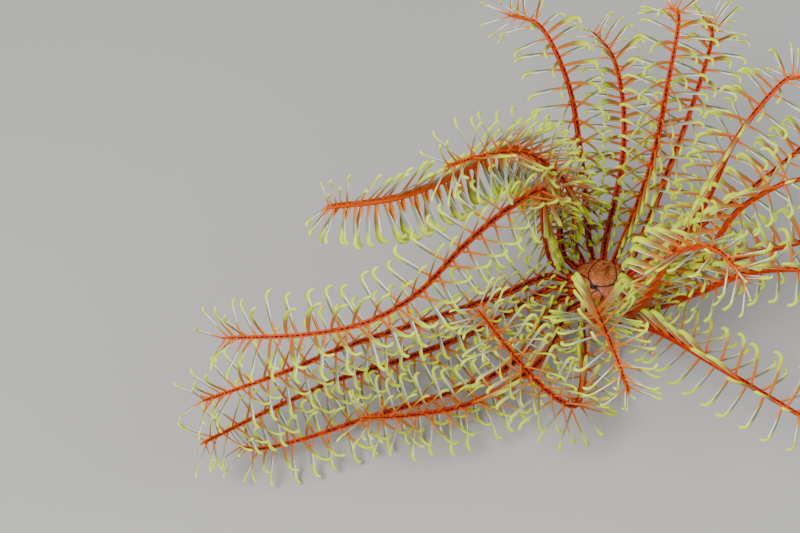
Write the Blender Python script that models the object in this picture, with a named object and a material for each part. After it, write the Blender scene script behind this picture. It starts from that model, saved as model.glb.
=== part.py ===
"""A golden crinoid, life size, that stands on its cirri with its feathered arms spread.

Each arm is a shaft with four rows of hooked pinnules. Twenty arms grow from five branching rays round a
small cup, and a domed disc with an anal cone covers the rays. Lengths are in metres, +Z is up, and the floor
is z = 0.
"""

import math
import random

import bmesh
import bpy
import numpy as np
from mathutils import Matrix, Vector

MM = 0.001
GAP = 0.3 * MM
SHARP_ANGLE = math.radians(50)

# Cup (centrodorsal) and the five-sided boss that the rays grow from
CUP_BOTTOM = 9.5 * MM
CUP_RADIUS = 4.6 * MM
CUP_HEIGHT = 4.2 * MM
CUP_SIDES = 20
BOSS_RADIUS = 3.9 * MM
BOSS_TOP = CUP_BOTTOM + CUP_HEIGHT + 3.9 * MM

# Rays: a trunk, two limbs and four stubs, one for each arm
RAY_COUNT = 5
ARMS_PER_RAY = 4
RAY_TURN = math.radians(36)
TRUNK_END = 7.0 * MM
LIMB_END = 10.6 * MM
STUB_END = 14.2 * MM
TRUNK_HEIGHT = 15.7 * MM
STUB_HEIGHT = 17.0 * MM
TRUNK_RADIUS = 1.7 * MM
LIMB_RADIUS = 1.5 * MM
STUB_RADIUS = 1.3 * MM
RAY_SIDES = 7
FORK_RADIUS = 1.42 * MM
ROOT_SINK = 0.5 * MM
TRUNK_SINK = 0.9 * MM
STUB_RUN = 1.6 * MM

# Disc and anal cone
DISC_BOTTOM = 18.1 * MM
DISC_RADIUS = 9.6 * MM
DISC_EDGE = 1.6 * MM
DISC_RISE = 3.6 * MM
DISC_SIDES = 30
DISC_CUTS = 7
GROOVE_WIDTH = 0.8 * MM
GROOVE_DEPTH = 0.6 * MM
PLATEAU_RADIUS = 3.0 * MM
MOUTH_AZIMUTH = math.radians(230)
MOUTH_REACH = 6.0 * MM
MOUTH_DEPTH = 1.3 * MM
MOUTH_WIDTH = 1.3 * MM
CONE_RADIUS = 1.9 * MM
CONE_HEIGHT = 5.5 * MM
CONE_SIDES = 12

# Cirri, the jointed feet that grip what the animal stands on
CIRRUS_COUNT = 12
CIRRUS_RADIUS = 0.8 * MM
CIRRUS_TIP_RADIUS = 0.55 * MM
CIRRUS_SIDES = 6
CIRRUS_RINGS = 9

# A cirrus from the cup outwards, as (distance from the axis, height): the last two points lie along the floor
CIRRUS_ROUTE = ((5.2 * MM, 11.7 * MM), (8.5 * MM, 13.0 * MM), (14.0 * MM, 12.0 * MM), (18.5 * MM, 8.0 * MM),
                (21.8 * MM, 3.0 * MM), (24.5 * MM, 0.5 * MM), (29.0 * MM, 0.38 * MM))

# Arms
ARM_COUNT = RAY_COUNT * ARMS_PER_RAY
ARM_TURN = 2 * math.pi / ARM_COUNT
ARM_SIDES = 6
ARM_BASE_RADIUS = 1.25 * MM
ARM_TIP_RADIUS = 0.6 * MM
ARM_RING_STEP = 10.5 * MM
ARM_SPLIT = 0.5

# An arm's oral side faces the middle at its root and has turned to its own way by this share of its length
ORAL_TURN_SHARE = 0.45

# Pinnules, the side branches of an arm
PINNULE_STEP = 5.0 * MM
FIRST_PINNULE = 9.0 * MM
SPLIT_MARGIN = 2.2 * MM
END_MARGIN = 1.2 * MM
TIP_STRETCH = 22.0 * MM
PINNULE_LENGTH = 16.0 * MM
PINNULE_SIDES = 3
ROW_TILTS = (math.radians(52), math.radians(-12))
LEAN = math.radians(14)
TIP_LEAN = math.radians(62)
CLEARANCE = 0.4 * MM
FLOOR_CLEARANCE = 1.5 * MM
SEED = 11

# How much of a pinnule at its root is left out when its room is measured
ROOT_RUN = 2.0 * MM

# A pinnule's three stretches as shares of its length, how far each turns back, and its rings' radii
PINNULE_SHARES = (0.72, 0.16, 0.14)
PINNULE_TURNS = (0, math.radians(35), math.radians(80))
PINNULE_RADII = (0.47 * MM, 0.42 * MM, 0.5 * MM, 0.25 * MM)

# A pinnule that meets another is tried again at these: (share of its length, change of tilt, change of lean)
PINNULE_TRIES = [(shrink, tilt, lean) for shrink in (1, 0.85, 0.7, 0.55, 0.4)
                 for tilt in (0, 14, -14, 28, -28, 42, -42) for lean in (0, 12, -12)]

# Where the animal's box is centred, measured from the cup's own axis
BOX_CENTRE = Vector((-17.6, 8.1, 0.0)) * MM

UP = Vector((0, 0, 1))
ACROSS = Vector((1, 0, 0))
TOWARDS_VIEWER = Vector((0, -0.64, 0.77))
AWAY_AND_UP = Vector((0.1, 0.75, 0.65))

# Routes of the arms on the viewer's side, in millimetres from the floor under the cup, and the way that each
# arm's oral side faces towards its tip. The key is the arm's place round the disc, counted from +X.
NEAR_ARMS = {
    6: (((-10, 16, 38), (-18, 2, 70), (-33, -12, 97), (-49, -28, 112), (-59, -35, 115)), TOWARDS_VIEWER),
    7: (((-16, 22, 36), (-26, 20, 62), (-39.5, 6.6, 79.7), (-57, -14.7, 89), (-74, -30, 96),
         (-94.4, -41, 103.8)), AWAY_AND_UP),
    8: (((-22, 3, 42), (-25, -7, 68), (-28, -17, 85.5), (-41, -31, 90), (-53.5, -44.8, 90), (-68, -60, 85.5),
         (-82.5, -67.3, 81.6), (-100, -71.3, 80.8), (-125.5, -72.3, 80.2)), TOWARDS_VIEWER),
    9: (((-37, -12, 26), (-62, -27, 31.5), (-91, -43.5, 37.5), (-109, -56.5, 42), (-135.5, -69.4, 43.3)),
        TOWARDS_VIEWER),
    10: (((-44, -20, 17), (-73, -34, 17), (-92, -42, 18), (-113, -54, 19), (-129, -66, 22), (-137, -74, 26)),
         TOWARDS_VIEWER),
    11: (((-33, -32, 13), (-55, -43, 11), (-84, -54, 11), (-107, -63, 11), (-120, -67, 12), (-126, -69, 16)),
         TOWARDS_VIEWER),
    12: (((-24, -34, 17), (-48, -53, 19), (-69, -63, 26), (-86, -71, 36)), TOWARDS_VIEWER),
    13: (((-9, -36, 17), (-13, -55, 22), (-18, -62, 31), (-27, -63.5, 43), (-38.4, -63, 61.7),
          (-49.3, -61.2, 80.2)), TOWARDS_VIEWER),
}

# The other arms alternate between these (elevation at the root in degrees, reach, height of the tip)
FAR_SHAPES = ((58, 68 * MM, 92 * MM), (34, 104 * MM, 46 * MM), (50, 88 * MM, 74 * MM))
FAR_SWAY = math.radians(7)

COLOURS = {
    "arm": ((0.87, 0.22, 0.02), 0.5),
    "ray": ((0.80, 0.20, 0.03), 0.5),
    "cup": ((0.72, 0.30, 0.07), 0.6),
    "disc": ((0.55, 0.20, 0.05), 0.55),
    "cirrus": ((0.85, 0.50, 0.12), 0.5),
}


def clear_scene():
    for obj in list(bpy.data.objects):
        bpy.data.objects.remove(obj)


def around(azimuth, radius, height):
    return Vector((radius * math.cos(azimuth), radius * math.sin(azimuth), height))


def material(name):
    if name in bpy.data.materials:
        return bpy.data.materials[name]
    made = bpy.data.materials.new(name)
    made.use_nodes = True
    shader = made.node_tree.nodes["Principled BSDF"]
    colour, roughness = COLOURS[name]
    shader.inputs["Base Color"].default_value = (*colour, 1)
    shader.inputs["Roughness"].default_value = roughness
    shader.inputs["Metallic"].default_value = 0
    return made


def object_from(bm, name, finish, root=None):
    """The bmesh as a named object with its own finish, and the bmesh freed."""
    bmesh.ops.recalc_face_normals(bm, faces=bm.faces)
    mesh = bpy.data.meshes.new(name)
    bm.to_mesh(mesh)
    bm.free()
    mesh.materials.append(material(finish))
    mesh.shade_smooth()
    mesh.set_sharp_from_angle(angle=SHARP_ANGLE)
    obj = bpy.data.objects.new(name, mesh)
    bpy.context.scene.collection.objects.link(obj)
    if root is not None:
        obj.parent = root
    return obj


def smooth_route(points, samples_per_span=12):
    """Points along a centripetal Catmull-Rom curve through the route's own points."""
    ends = [points[0] * 2 - points[1], *points, points[-1] * 2 - points[-2]]
    route = []
    for p0, p1, p2, p3 in zip(ends, ends[1:], ends[2:], ends[3:]):
        t1 = math.sqrt((p1 - p0).length)
        t2 = t1 + math.sqrt((p2 - p1).length)
        t3 = t2 + math.sqrt((p3 - p2).length)
        for k in range(samples_per_span):
            t = t1 + (t2 - t1) * k / samples_per_span
            a1 = p0.lerp(p1, t / t1)
            a2 = p1.lerp(p2, (t - t1) / (t2 - t1))
            a3 = p2.lerp(p3, (t - t2) / (t3 - t2))
            b1 = a1.lerp(a2, t / t2)
            b2 = a2.lerp(a3, (t - t1) / (t3 - t1))
            route.append(b1.lerp(b2, (t - t1) / (t2 - t1)))
    route.append(points[-1].copy())
    return route


class Path:
    """A curve measured by its length, with a tangent and an oral direction at each place."""

    def __init__(self, points, oral_at_root, oral_at_tip):
        self.points = np.array([tuple(p) for p in smooth_route(points)])
        steps = np.linalg.norm(np.diff(self.points, axis=0), axis=1)
        self.along = np.concatenate([[0], np.cumsum(steps)])
        self.length = float(self.along[-1])
        self.oral_at_root = oral_at_root
        self.oral_at_tip = oral_at_tip

    def at(self, s):
        return Vector([float(np.interp(s, self.along, self.points[:, k])) for k in range(3)])

    def tangent(self, s):
        reach = 1.5 * MM
        ahead = min(s + reach, self.length)
        behind = max(s - reach, 0)
        return (self.at(ahead) - self.at(behind)).normalized()

    def oral(self, s):
        tangent = self.tangent(s)
        share = min(1.0, s / (ORAL_TURN_SHARE * self.length))
        wanted = self.oral_at_root.lerp(self.oral_at_tip, share)
        return (wanted - tangent * wanted.dot(tangent)).normalized()


def ring_matrix(centre, tangent, across, radius):
    """Places a unit ring at centre, square to tangent, with its first corner towards across."""
    side = across.cross(tangent).normalized()
    up = tangent.cross(side)
    turn = Matrix((side, up, tangent)).transposed().to_4x4()
    return Matrix.Translation(centre) @ turn @ Matrix.Scale(radius, 4)


def sweep(bm, stations, sides):
    """Extrudes a ring through stations (centre, tangent, across, radius), to a point where radius is 0."""
    before = ring_matrix(*stations[0])
    made = bmesh.ops.create_circle(bm, cap_ends=True, segments=sides, radius=1, matrix=before)
    face = made["verts"][0].link_faces[0]
    for station in stations[1:]:
        centre, tangent, across, radius = station
        extruded = bmesh.ops.extrude_face_region(bm, geom=[face, *face.edges])["geom"]
        face = next(e for e in extruded if isinstance(e, bmesh.types.BMFace))
        ring = list(face.verts)
        if radius == 0:
            bmesh.ops.pointmerge(bm, verts=ring, merge_co=centre)
            return
        after = ring_matrix(*station)
        bmesh.ops.transform(bm, matrix=after @ before.inverted(), verts=ring)
        before = after


def tube_stations(centres, radii, across):
    """Stations along a polyline, each square to the mean of its neighbouring directions."""
    stations = []
    for i, centre in enumerate(centres):
        ahead = centres[min(i + 1, len(centres) - 1)]
        behind = centres[max(i - 1, 0)]
        stations.append((centre, (ahead - behind).normalized(), across, radii[i]))
    return stations


def keep_largest(bm):
    """Removes every closed surface but the largest, so that the mesh is one body."""
    unseen = set(bm.verts)
    islands = []
    while unseen:
        island = {unseen.pop()}
        edge_of_it = list(island)
        while edge_of_it:
            near = {e.other_vert(v) for v in edge_of_it for e in v.link_edges}
            edge_of_it = [v for v in near if v in unseen]
            unseen.difference_update(edge_of_it)
            island.update(edge_of_it)
        islands.append(island)
    islands.sort(key=len)
    scraps = [v for island in islands[:-1] for v in island]
    bmesh.ops.delete(bm, geom=scraps, context="VERTS")


def fused(core, pieces, name, finish, root):
    """One body made of the core and the pieces whose roots are sunk in it."""
    group = bpy.data.collections.new(name + "_pieces")
    bpy.context.scene.collection.children.link(group)
    for piece in pieces:
        bpy.context.scene.collection.objects.unlink(piece)
        group.objects.link(piece)
    union = core.modifiers.new("union", "BOOLEAN")
    union.operation = "UNION"
    union.operand_type = "COLLECTION"
    union.collection = group
    graph = bpy.context.evaluated_depsgraph_get()
    bm = bmesh.new()
    bm.from_object(core, graph)
    for piece in list(group.objects):
        bpy.data.objects.remove(piece)
    bpy.data.collections.remove(group)
    bpy.data.objects.remove(core)
    bmesh.ops.triangulate(bm, faces=bm.faces)
    keep_largest(bm)
    return object_from(bm, name, finish, root)


# Arms

def arm_azimuth(index):
    return (index + 0.5) * ARM_TURN


def stub_direction(azimuth):
    return (around(azimuth, STUB_END - LIMB_END, 0) + UP * (STUB_HEIGHT - TRUNK_HEIGHT)).normalized()


def far_route(index, rng):
    """An arm on the side away from the viewer: it rises from its root, arches out and droops a little."""
    elevation, reach, height = FAR_SHAPES[index % len(FAR_SHAPES)]
    azimuth = arm_azimuth(index) + rng.uniform(-1, 1) * FAR_SWAY
    rise = math.tan(math.radians(elevation))
    first = 0.28 * reach
    points = [around(azimuth, STUB_END + first, STUB_HEIGHT + first * rise)]
    crest = height * 1.06
    points.append(around(azimuth + FAR_SWAY * 0.4, 0.62 * reach, (points[0].z + crest * 2) / 3))
    points.append(around(azimuth + FAR_SWAY, 0.84 * reach, crest))
    points.append(around(azimuth + FAR_SWAY * 1.6, reach, height))
    return points


def arm_path(index):
    azimuth = arm_azimuth(index)
    direction = stub_direction(azimuth)
    start = around(azimuth, STUB_END, STUB_HEIGHT) + direction * GAP
    inward = (UP - around(azimuth, 0.8, 0)).normalized()
    if index in NEAR_ARMS:
        route, oral_at_tip = NEAR_ARMS[index]
        points = [Vector(p) * MM for p in route]
    else:
        points, oral_at_tip = far_route(index, random.Random(index)), UP
    return Path([start, start + direction * 4 * MM, *points], inward, oral_at_tip)


def arm_radius(share):
    return ARM_BASE_RADIUS + (ARM_TIP_RADIUS - ARM_BASE_RADIUS) * share ** 0.8


def arm_stations(path, start, end):
    count = max(3, round((end - start) / ARM_RING_STEP) + 1)
    stations = []
    for i in range(count):
        s = start + (end - start) * i / (count - 1)
        stations.append((path.at(s), path.tangent(s), path.oral(s), arm_radius(s / path.length)))
    return stations


# Pinnules

def line_distances(start, end, starts, ends):
    """The shortest way from one straight line to each of many."""
    d1 = end - start
    d2 = ends - starts
    r = start - starts
    a = d1 @ d1
    e = np.einsum("ij,ij->i", d2, d2)
    f = np.einsum("ij,ij->i", d2, r)
    b = d2 @ d1
    c = r @ d1
    slant = np.maximum(a * e - b * b, 1e-18)
    s = np.clip((b * f - c * e) / slant, 0, 1)
    t = np.clip((b * s + f) / e, 0, 1)
    s = np.clip((b * t - c) / a, 0, 1)
    return np.linalg.norm(r + s[:, None] * d1 - t[:, None] * d2, axis=1)


class Bars:
    """Round bars already in place, which a new pinnule keeps clear of."""

    def __init__(self):
        self.starts = np.zeros((0, 3))
        self.ends = np.zeros((0, 3))
        self.radii = np.zeros(0)
        self.owners = np.zeros(0, int)
        self.places = np.zeros(0)

    def add(self, centres, radii, owner=-1, places=None):
        """Adds the bars between centres. Owner is an arm, and places says how far along it each bar lies."""
        points = np.array([tuple(c) for c in centres])
        self.starts = np.vstack([self.starts, points[:-1]])
        self.ends = np.vstack([self.ends, points[1:]])
        self.radii = np.append(self.radii, np.maximum(radii[:-1], radii[1:]))
        self.owners = np.append(self.owners, np.full(len(points) - 1, owner))
        if places is None:
            places = np.full(len(points) - 1, np.inf)
        self.places = np.append(self.places, places)

    def near(self, point, reach, owner, place):
        """The bars within reach of a point, without the owner's own shaft at its place."""
        middle = (self.starts + self.ends) / 2
        close = np.linalg.norm(middle - point, axis=1) < reach + 6 * MM
        own = (self.owners == owner) & (np.abs(self.places - place) < 0.9 * ARM_RING_STEP)
        kept = close & ~own
        return self.starts[kept], self.ends[kept], self.radii[kept]


def is_clear(points, radii, bars):
    """Whether the line through points stays clear of the bars and of the floor."""
    starts, ends, bar_radii = bars
    for start, end, radius in zip(points, points[1:], np.maximum(radii[:-1], radii[1:])):
        if min(start[2], end[2]) - radius < FLOOR_CLEARANCE:
            return False
        room = line_distances(start, end, starts, ends) - bar_radii - radius
        if len(room) and room.min() < CLEARANCE:
            return False
    return True


def pinnule_length(path, s):
    grown = max(0, min(1, (s - 6 * MM) / (34 * MM)))
    left = max(0, min(1, (path.length - s + 5 * MM) / (30 * MM)))
    return PINNULE_LENGTH * min(0.45 + 0.55 * grown, 0.5 + 0.5 * left)


def pinnule_lean(path, s):
    near_tip = max(0, 1 - (path.length - s) / TIP_STRETCH)
    return LEAN + (TIP_LEAN - LEAN) * near_tip ** 1.5


def pinnule_centres(path, s, side, tilt, lean, length):
    """The pinnule's middle line: straight out of the arm, then a hook that curls back towards the disc."""
    tangent = path.tangent(s)
    oral = path.oral(s)
    outward = tangent.cross(oral) * (side * math.cos(tilt)) + oral * math.sin(tilt)
    centres = [path.at(s)]
    for share, turn in zip(PINNULE_SHARES, PINNULE_TURNS):
        angle = lean - turn
        step = outward * math.cos(angle) + tangent * math.sin(angle)
        centres.append(centres[-1] + step * length * share)
    return centres


def placed_pinnules(paths, bars):
    """Every pinnule as (arm, place along it, middle line, radii), each clear of all the others."""
    placed = []
    rng = random.Random(SEED)
    for index, path in enumerate(paths):
        middle = path.length * ARM_SPLIT
        count = int((path.length - FIRST_PINNULE - END_MARGIN) / PINNULE_STEP) + 1
        for k in range(count):
            s = path.length - END_MARGIN - (count - 1 - k) * PINNULE_STEP
            if abs(s - middle) < SPLIT_MARGIN:
                s = middle + math.copysign(SPLIT_MARGIN, s - middle)
            side = 1 if (k + index) % 2 else -1
            tilt = ROW_TILTS[(k // 2) % 2] + math.radians(rng.uniform(-5, 5))
            lean = pinnule_lean(path, s) + math.radians(rng.uniform(-4, 4))
            length = pinnule_length(path, s) * rng.uniform(0.94, 1.05)
            slim = 1 - 0.15 * s / path.length
            radii = np.array(PINNULE_RADII) * slim
            near = bars.near(np.array(path.at(s)), length, index, s)
            for shrink, tilt_change, lean_change in PINNULE_TRIES:
                centres = pinnule_centres(path, s, side, tilt + math.radians(tilt_change),
                                          lean + math.radians(lean_change), length * shrink)
                points = np.array([tuple(c) for c in centres])
                free = points.copy()
                free[0] += (points[1] - points[0]) * (ROOT_RUN / (length * shrink * PINNULE_SHARES[0]))
                if is_clear(free, radii, near):
                    placed.append((index, s, centres, radii))
                    bars.add(free, radii)
                    break
    return placed


def pinnule(centres, radii):
    """One closed body along the middle line, cut off flat inside the arm and pointed at its tip."""
    bm = bmesh.new()
    across = (centres[2] - centres[0]).cross(centres[-1] - centres[0]).normalized()
    sweep(bm, tube_stations(centres, [*radii[:-1], 0], across), PINNULE_SIDES)
    return object_from(bm, "pinnule", "arm")


def arm_half(path, pinnules, start, end, name, root):
    """The arm's shaft between two lengths along it, with the pinnules that grow there."""
    bm = bmesh.new()
    sweep(bm, arm_stations(path, start, end), ARM_SIDES)
    core = object_from(bm, name + "_shaft", "arm")
    pieces = [pinnule(centres, radii) for _, s, centres, radii in pinnules if start < s < end]
    return fused(core, pieces, name, "arm", root)


# Body

def cup(root):
    """The low drum that carries the cirri, with a five-sided boss that the rays meet face to face."""
    bm = bmesh.new()
    heights = (0, 0.35, 0.75, 1)
    widths = (0.62, 0.98, 1, 0.86)
    centres = [UP * (CUP_BOTTOM + CUP_HEIGHT * h) for h in heights]
    sweep(bm, [(c, UP, ACROSS, CUP_RADIUS * w) for c, w in zip(centres, widths)], CUP_SIDES)
    drum = object_from(bm, "drum", "cup")
    bm = bmesh.new()
    corner = around(RAY_TURN + math.pi / RAY_COUNT, 1, 0)
    corner_radius = BOSS_RADIUS / math.cos(math.pi / RAY_COUNT)
    low = UP * (CUP_BOTTOM + CUP_HEIGHT * 0.5)
    sweep(bm, [(low, UP, corner, corner_radius), (UP * BOSS_TOP, UP, corner, corner_radius)], RAY_COUNT)
    boss = object_from(bm, "boss", "cup")
    return fused(drum, [boss], "centrodorsal", "cup", root)


def tube_piece(stations, name):
    bm = bmesh.new()
    sweep(bm, stations, RAY_SIDES)
    return object_from(bm, name, "ray")


def ray(index, root):
    """A trunk that forks into two limbs, each of which forks into the stubs of two arms."""
    middle = RAY_TURN + index * math.tau / RAY_COUNT
    outward = around(middle, 1, 0)
    hub = around(middle, TRUNK_END, TRUNK_HEIGHT)
    pieces = []
    for side in (-1, 1):
        turn = middle + side * ARM_TURN
        fork = around(turn, LIMB_END, (TRUNK_HEIGHT + STUB_HEIGHT) / 2)
        run = (fork - hub).normalized()
        limb = [(hub - run * ROOT_SINK, run, UP, LIMB_RADIUS), (fork + run * ROOT_SINK, run, UP, FORK_RADIUS)]
        pieces.append(tube_piece(limb, "limb"))
        for half in (-0.5, 0.5):
            azimuth = turn + half * ARM_TURN
            end = around(azimuth, STUB_END, STUB_HEIGHT)
            heading = stub_direction(azimuth)
            run = (end - fork).normalized()
            stub = [(fork - run * ROOT_SINK, run, UP, STUB_RADIUS),
                    (end - heading * STUB_RUN, heading, UP, STUB_RADIUS), (end, heading, UP, STUB_RADIUS)]
            pieces.append(tube_piece(stub, "stub"))
    start = around(middle, BOSS_RADIUS + GAP, TRUNK_HEIGHT)
    trunk = [(start, outward, UP, TRUNK_RADIUS), (hub + outward * TRUNK_SINK, outward, UP, TRUNK_RADIUS)]
    return fused(tube_piece(trunk, "trunk"), pieces, f"ray_{index + 1}", "ray", root)


def disc_height(x, y):
    """The disc's upper side: a dome with five grooves that meet at a mouth set off its middle."""
    radius = math.hypot(x, y)
    share = min(1, radius / DISC_RADIUS)
    height = DISC_RISE * (1 - share ** 2.6)
    mouth = around(MOUTH_AZIMUTH, MOUTH_REACH, 0)
    offset = Vector((x, y, 0)) - mouth
    height -= MOUTH_DEPTH * math.exp(-(offset.length / MOUTH_WIDTH) ** 2)
    for k in range(RAY_COUNT):
        rim = around(RAY_TURN + k * math.tau / RAY_COUNT, DISC_RADIUS, 0)
        along = rim - mouth
        share = max(0, min(1, offset.dot(along) / along.length_squared))
        away = (offset - along * share).length
        fade = min(1, max(0, radius / PLATEAU_RADIUS - 1))
        height -= GROOVE_DEPTH * fade * math.exp(-(away / GROOVE_WIDTH) ** 2)
    return height


def disc(root):
    """The soft disc over the rays, domed and grooved above and flat below."""
    bm = bmesh.new()
    bmesh.ops.create_circle(bm, cap_ends=True, cap_tris=True, segments=DISC_SIDES, radius=DISC_RADIUS)
    spokes = [e for e in bm.edges if not e.is_boundary]
    bmesh.ops.subdivide_edges(bm, edges=spokes, cuts=DISC_CUTS, use_grid_fill=True)
    top = list(bm.faces)
    lifted = bmesh.ops.extrude_face_region(bm, geom=top)["geom"]
    upper = [v for v in lifted if isinstance(v, bmesh.types.BMVert)]
    for vert in upper:
        on_plateau = math.hypot(vert.co.x, vert.co.y) < PLATEAU_RADIUS
        vert.co.z = DISC_EDGE + (DISC_RISE if on_plateau else disc_height(vert.co.x, vert.co.y))
    bmesh.ops.translate(bm, vec=UP * DISC_BOTTOM, verts=bm.verts)
    return object_from(bm, "tegmen", "disc", root)


def anal_cone(root):
    """The tube that stands on the disc's flat middle."""
    base = DISC_BOTTOM + DISC_EDGE + DISC_RISE + GAP
    shares = ((0, 1.0), (0.18, 0.86), (0.55, 0.66), (0.85, 0.6), (1, 0.42))
    bm = bmesh.new()
    stations = [(UP * (base + CONE_HEIGHT * h), UP, ACROSS, CONE_RADIUS * w) for h, w in shares]
    sweep(bm, stations, CONE_SIDES)
    return object_from(bm, "anal_cone", "disc", root)


def cirrus(index, root):
    """A jointed foot that arches out of the cup and lies flat on the floor at its end."""
    azimuth = (index + 0.5) * math.tau / CIRRUS_COUNT
    points = [around(azimuth, r, z) for r, z in CIRRUS_ROUTE]
    route = Path(points, UP, UP)
    bm = bmesh.new()
    stations = []
    for i in range(CIRRUS_RINGS):
        s = route.length * i / (CIRRUS_RINGS - 1)
        radius = CIRRUS_RADIUS + (CIRRUS_TIP_RADIUS - CIRRUS_RADIUS) * i / (CIRRUS_RINGS - 1)
        stations.append((route.at(s), route.tangent(s), UP, radius))
    sweep(bm, stations, CIRRUS_SIDES)
    cut = bmesh.ops.bisect_plane(bm, geom=[*bm.verts, *bm.edges, *bm.faces], plane_co=(0, 0, 0),
                                 plane_no=(0, 0, 1), clear_inner=True)
    edges = [e for e in cut["geom_cut"] if isinstance(e, bmesh.types.BMEdge)]
    bmesh.ops.contextual_create(bm, geom=edges)
    return object_from(bm, f"cirrus_{index + 1:02d}", "cirrus", root)


def fixed_bars(paths):
    """What the pinnules keep clear of before any is placed: the arms, rays, cirri and disc."""
    bars = Bars()
    for index, path in enumerate(paths):
        stations = arm_stations(path, 0, path.length)
        places = [path.length * (i + 0.5) / (len(stations) - 1) for i in range(len(stations) - 1)]
        bars.add([s[0] for s in stations], np.array([s[3] for s in stations]), index, places)
        start, end = path.at(0), around(arm_azimuth(index), LIMB_END, TRUNK_HEIGHT)
        bars.add([start, end], np.array([LIMB_RADIUS, LIMB_RADIUS]))
        rim = around(arm_azimuth(index), DISC_RADIUS - 2 * MM, DISC_BOTTOM + 1.8 * MM)
        bars.add([rim, UP * (DISC_BOTTOM + 3 * MM)], np.array([2 * MM, 2.4 * MM]))
    for index in range(CIRRUS_COUNT):
        azimuth = (index + 0.5) * math.tau / CIRRUS_COUNT
        centres = [around(azimuth, r, z) for r, z in CIRRUS_ROUTE]
        bars.add(centres, np.full(len(centres), CIRRUS_RADIUS * 1.4))
    return bars


def main():
    clear_scene()
    root = bpy.data.objects.new("golden_crinoid", None)
    bpy.context.scene.collection.objects.link(root)
    root.location = -BOX_CENTRE
    cup(root)
    for index in range(RAY_COUNT):
        ray(index, root)
    disc(root)
    anal_cone(root)
    for index in range(CIRRUS_COUNT):
        cirrus(index, root)
    paths = [arm_path(index) for index in range(ARM_COUNT)]
    placed = placed_pinnules(paths, fixed_bars(paths))
    for index, path in enumerate(paths):
        own = [p for p in placed if p[0] == index]
        middle = path.length * ARM_SPLIT
        arm_half(path, own, 0, middle - GAP / 2, f"arm_{index + 1:02d}_inner", root)
        arm_half(path, own, middle + GAP / 2, path.length, f"arm_{index + 1:02d}_outer", root)


main()
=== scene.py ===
"""A golden crinoid with jointed arms, hooked pinnules, a grooved disc and jointed feet, on a pale floor.

It is laid out as an add-on and run as a script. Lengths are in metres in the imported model's frame, and the
floor is z = 0.
"""

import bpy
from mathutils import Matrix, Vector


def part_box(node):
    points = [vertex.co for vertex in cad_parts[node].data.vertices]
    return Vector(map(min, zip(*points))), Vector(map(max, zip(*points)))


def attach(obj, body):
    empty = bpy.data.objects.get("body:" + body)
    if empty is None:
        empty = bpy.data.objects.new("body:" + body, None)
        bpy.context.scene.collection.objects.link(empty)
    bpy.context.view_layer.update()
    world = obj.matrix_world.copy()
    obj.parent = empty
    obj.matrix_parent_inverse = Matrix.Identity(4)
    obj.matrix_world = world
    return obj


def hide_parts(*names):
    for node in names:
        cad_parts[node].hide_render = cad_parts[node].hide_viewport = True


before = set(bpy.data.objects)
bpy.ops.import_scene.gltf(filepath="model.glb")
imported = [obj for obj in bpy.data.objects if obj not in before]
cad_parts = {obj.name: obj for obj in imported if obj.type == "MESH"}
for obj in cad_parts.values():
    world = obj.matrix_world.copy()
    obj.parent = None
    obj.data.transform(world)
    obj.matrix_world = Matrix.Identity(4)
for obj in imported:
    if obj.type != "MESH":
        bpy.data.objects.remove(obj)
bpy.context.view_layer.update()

import copy
import math
import random

import bmesh
import bpy
import numpy as np
from bpy.props import FloatProperty, FloatVectorProperty, IntProperty, PointerProperty
from mathutils import Vector
from mathutils.bvhtree import BVHTree

bl_info = {
    "name": "Golden crinoid",
    "version": (1, 0, 0),
    "blender": (4, 5, 0),
    "location": "View3D > Sidebar > Crinoid",
    "description": "Builds a feather star with its arms, pinnules, disc and cirri",
    "category": "Add Mesh",
}

MM = 0.001
UP = Vector((0, 0, 1))
LIE = "Lie"
BAKE = "OFBake"
SEAM_REACH = 1e-5

DISC_LOW, DISC_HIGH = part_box("tegmen")
AXIS = Vector(((DISC_LOW.x + DISC_HIGH.x) / 2, (DISC_LOW.y + DISC_HIGH.y) / 2, 0))
CUP_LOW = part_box("centrodorsal")[0]
CONE_LOW, CONE_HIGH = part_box("anal_cone")

# Rays and the roots of the arms, as in the solids
RAY_COUNT = 5
ARM_COUNT = 20
CIRRUS_COUNT = 12
ARM_TURN = math.tau / ARM_COUNT
RAY_TURN = math.radians(36)
GAP = 0.3 * MM
TRUNK_START = 3.4 * MM
TRUNK_END = 7.0 * MM
LIMB_END = 10.6 * MM
STUB_END = 14.2 * MM
TRUNK_HEIGHT = 15.7 * MM
STUB_HEIGHT = 17.0 * MM
STUB_RUN = 1.6 * MM
ORAL_TURN_SHARE = 0.45

# The way the oral side faces at the tip of a near arm, and of the one that shows the viewer its back
BACK_ARM = 7
TOWARDS_VIEWER = Vector((0, -0.64, 0.77))
TURNED_AWAY = Vector((-0.70, 0.71, -0.11))

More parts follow.
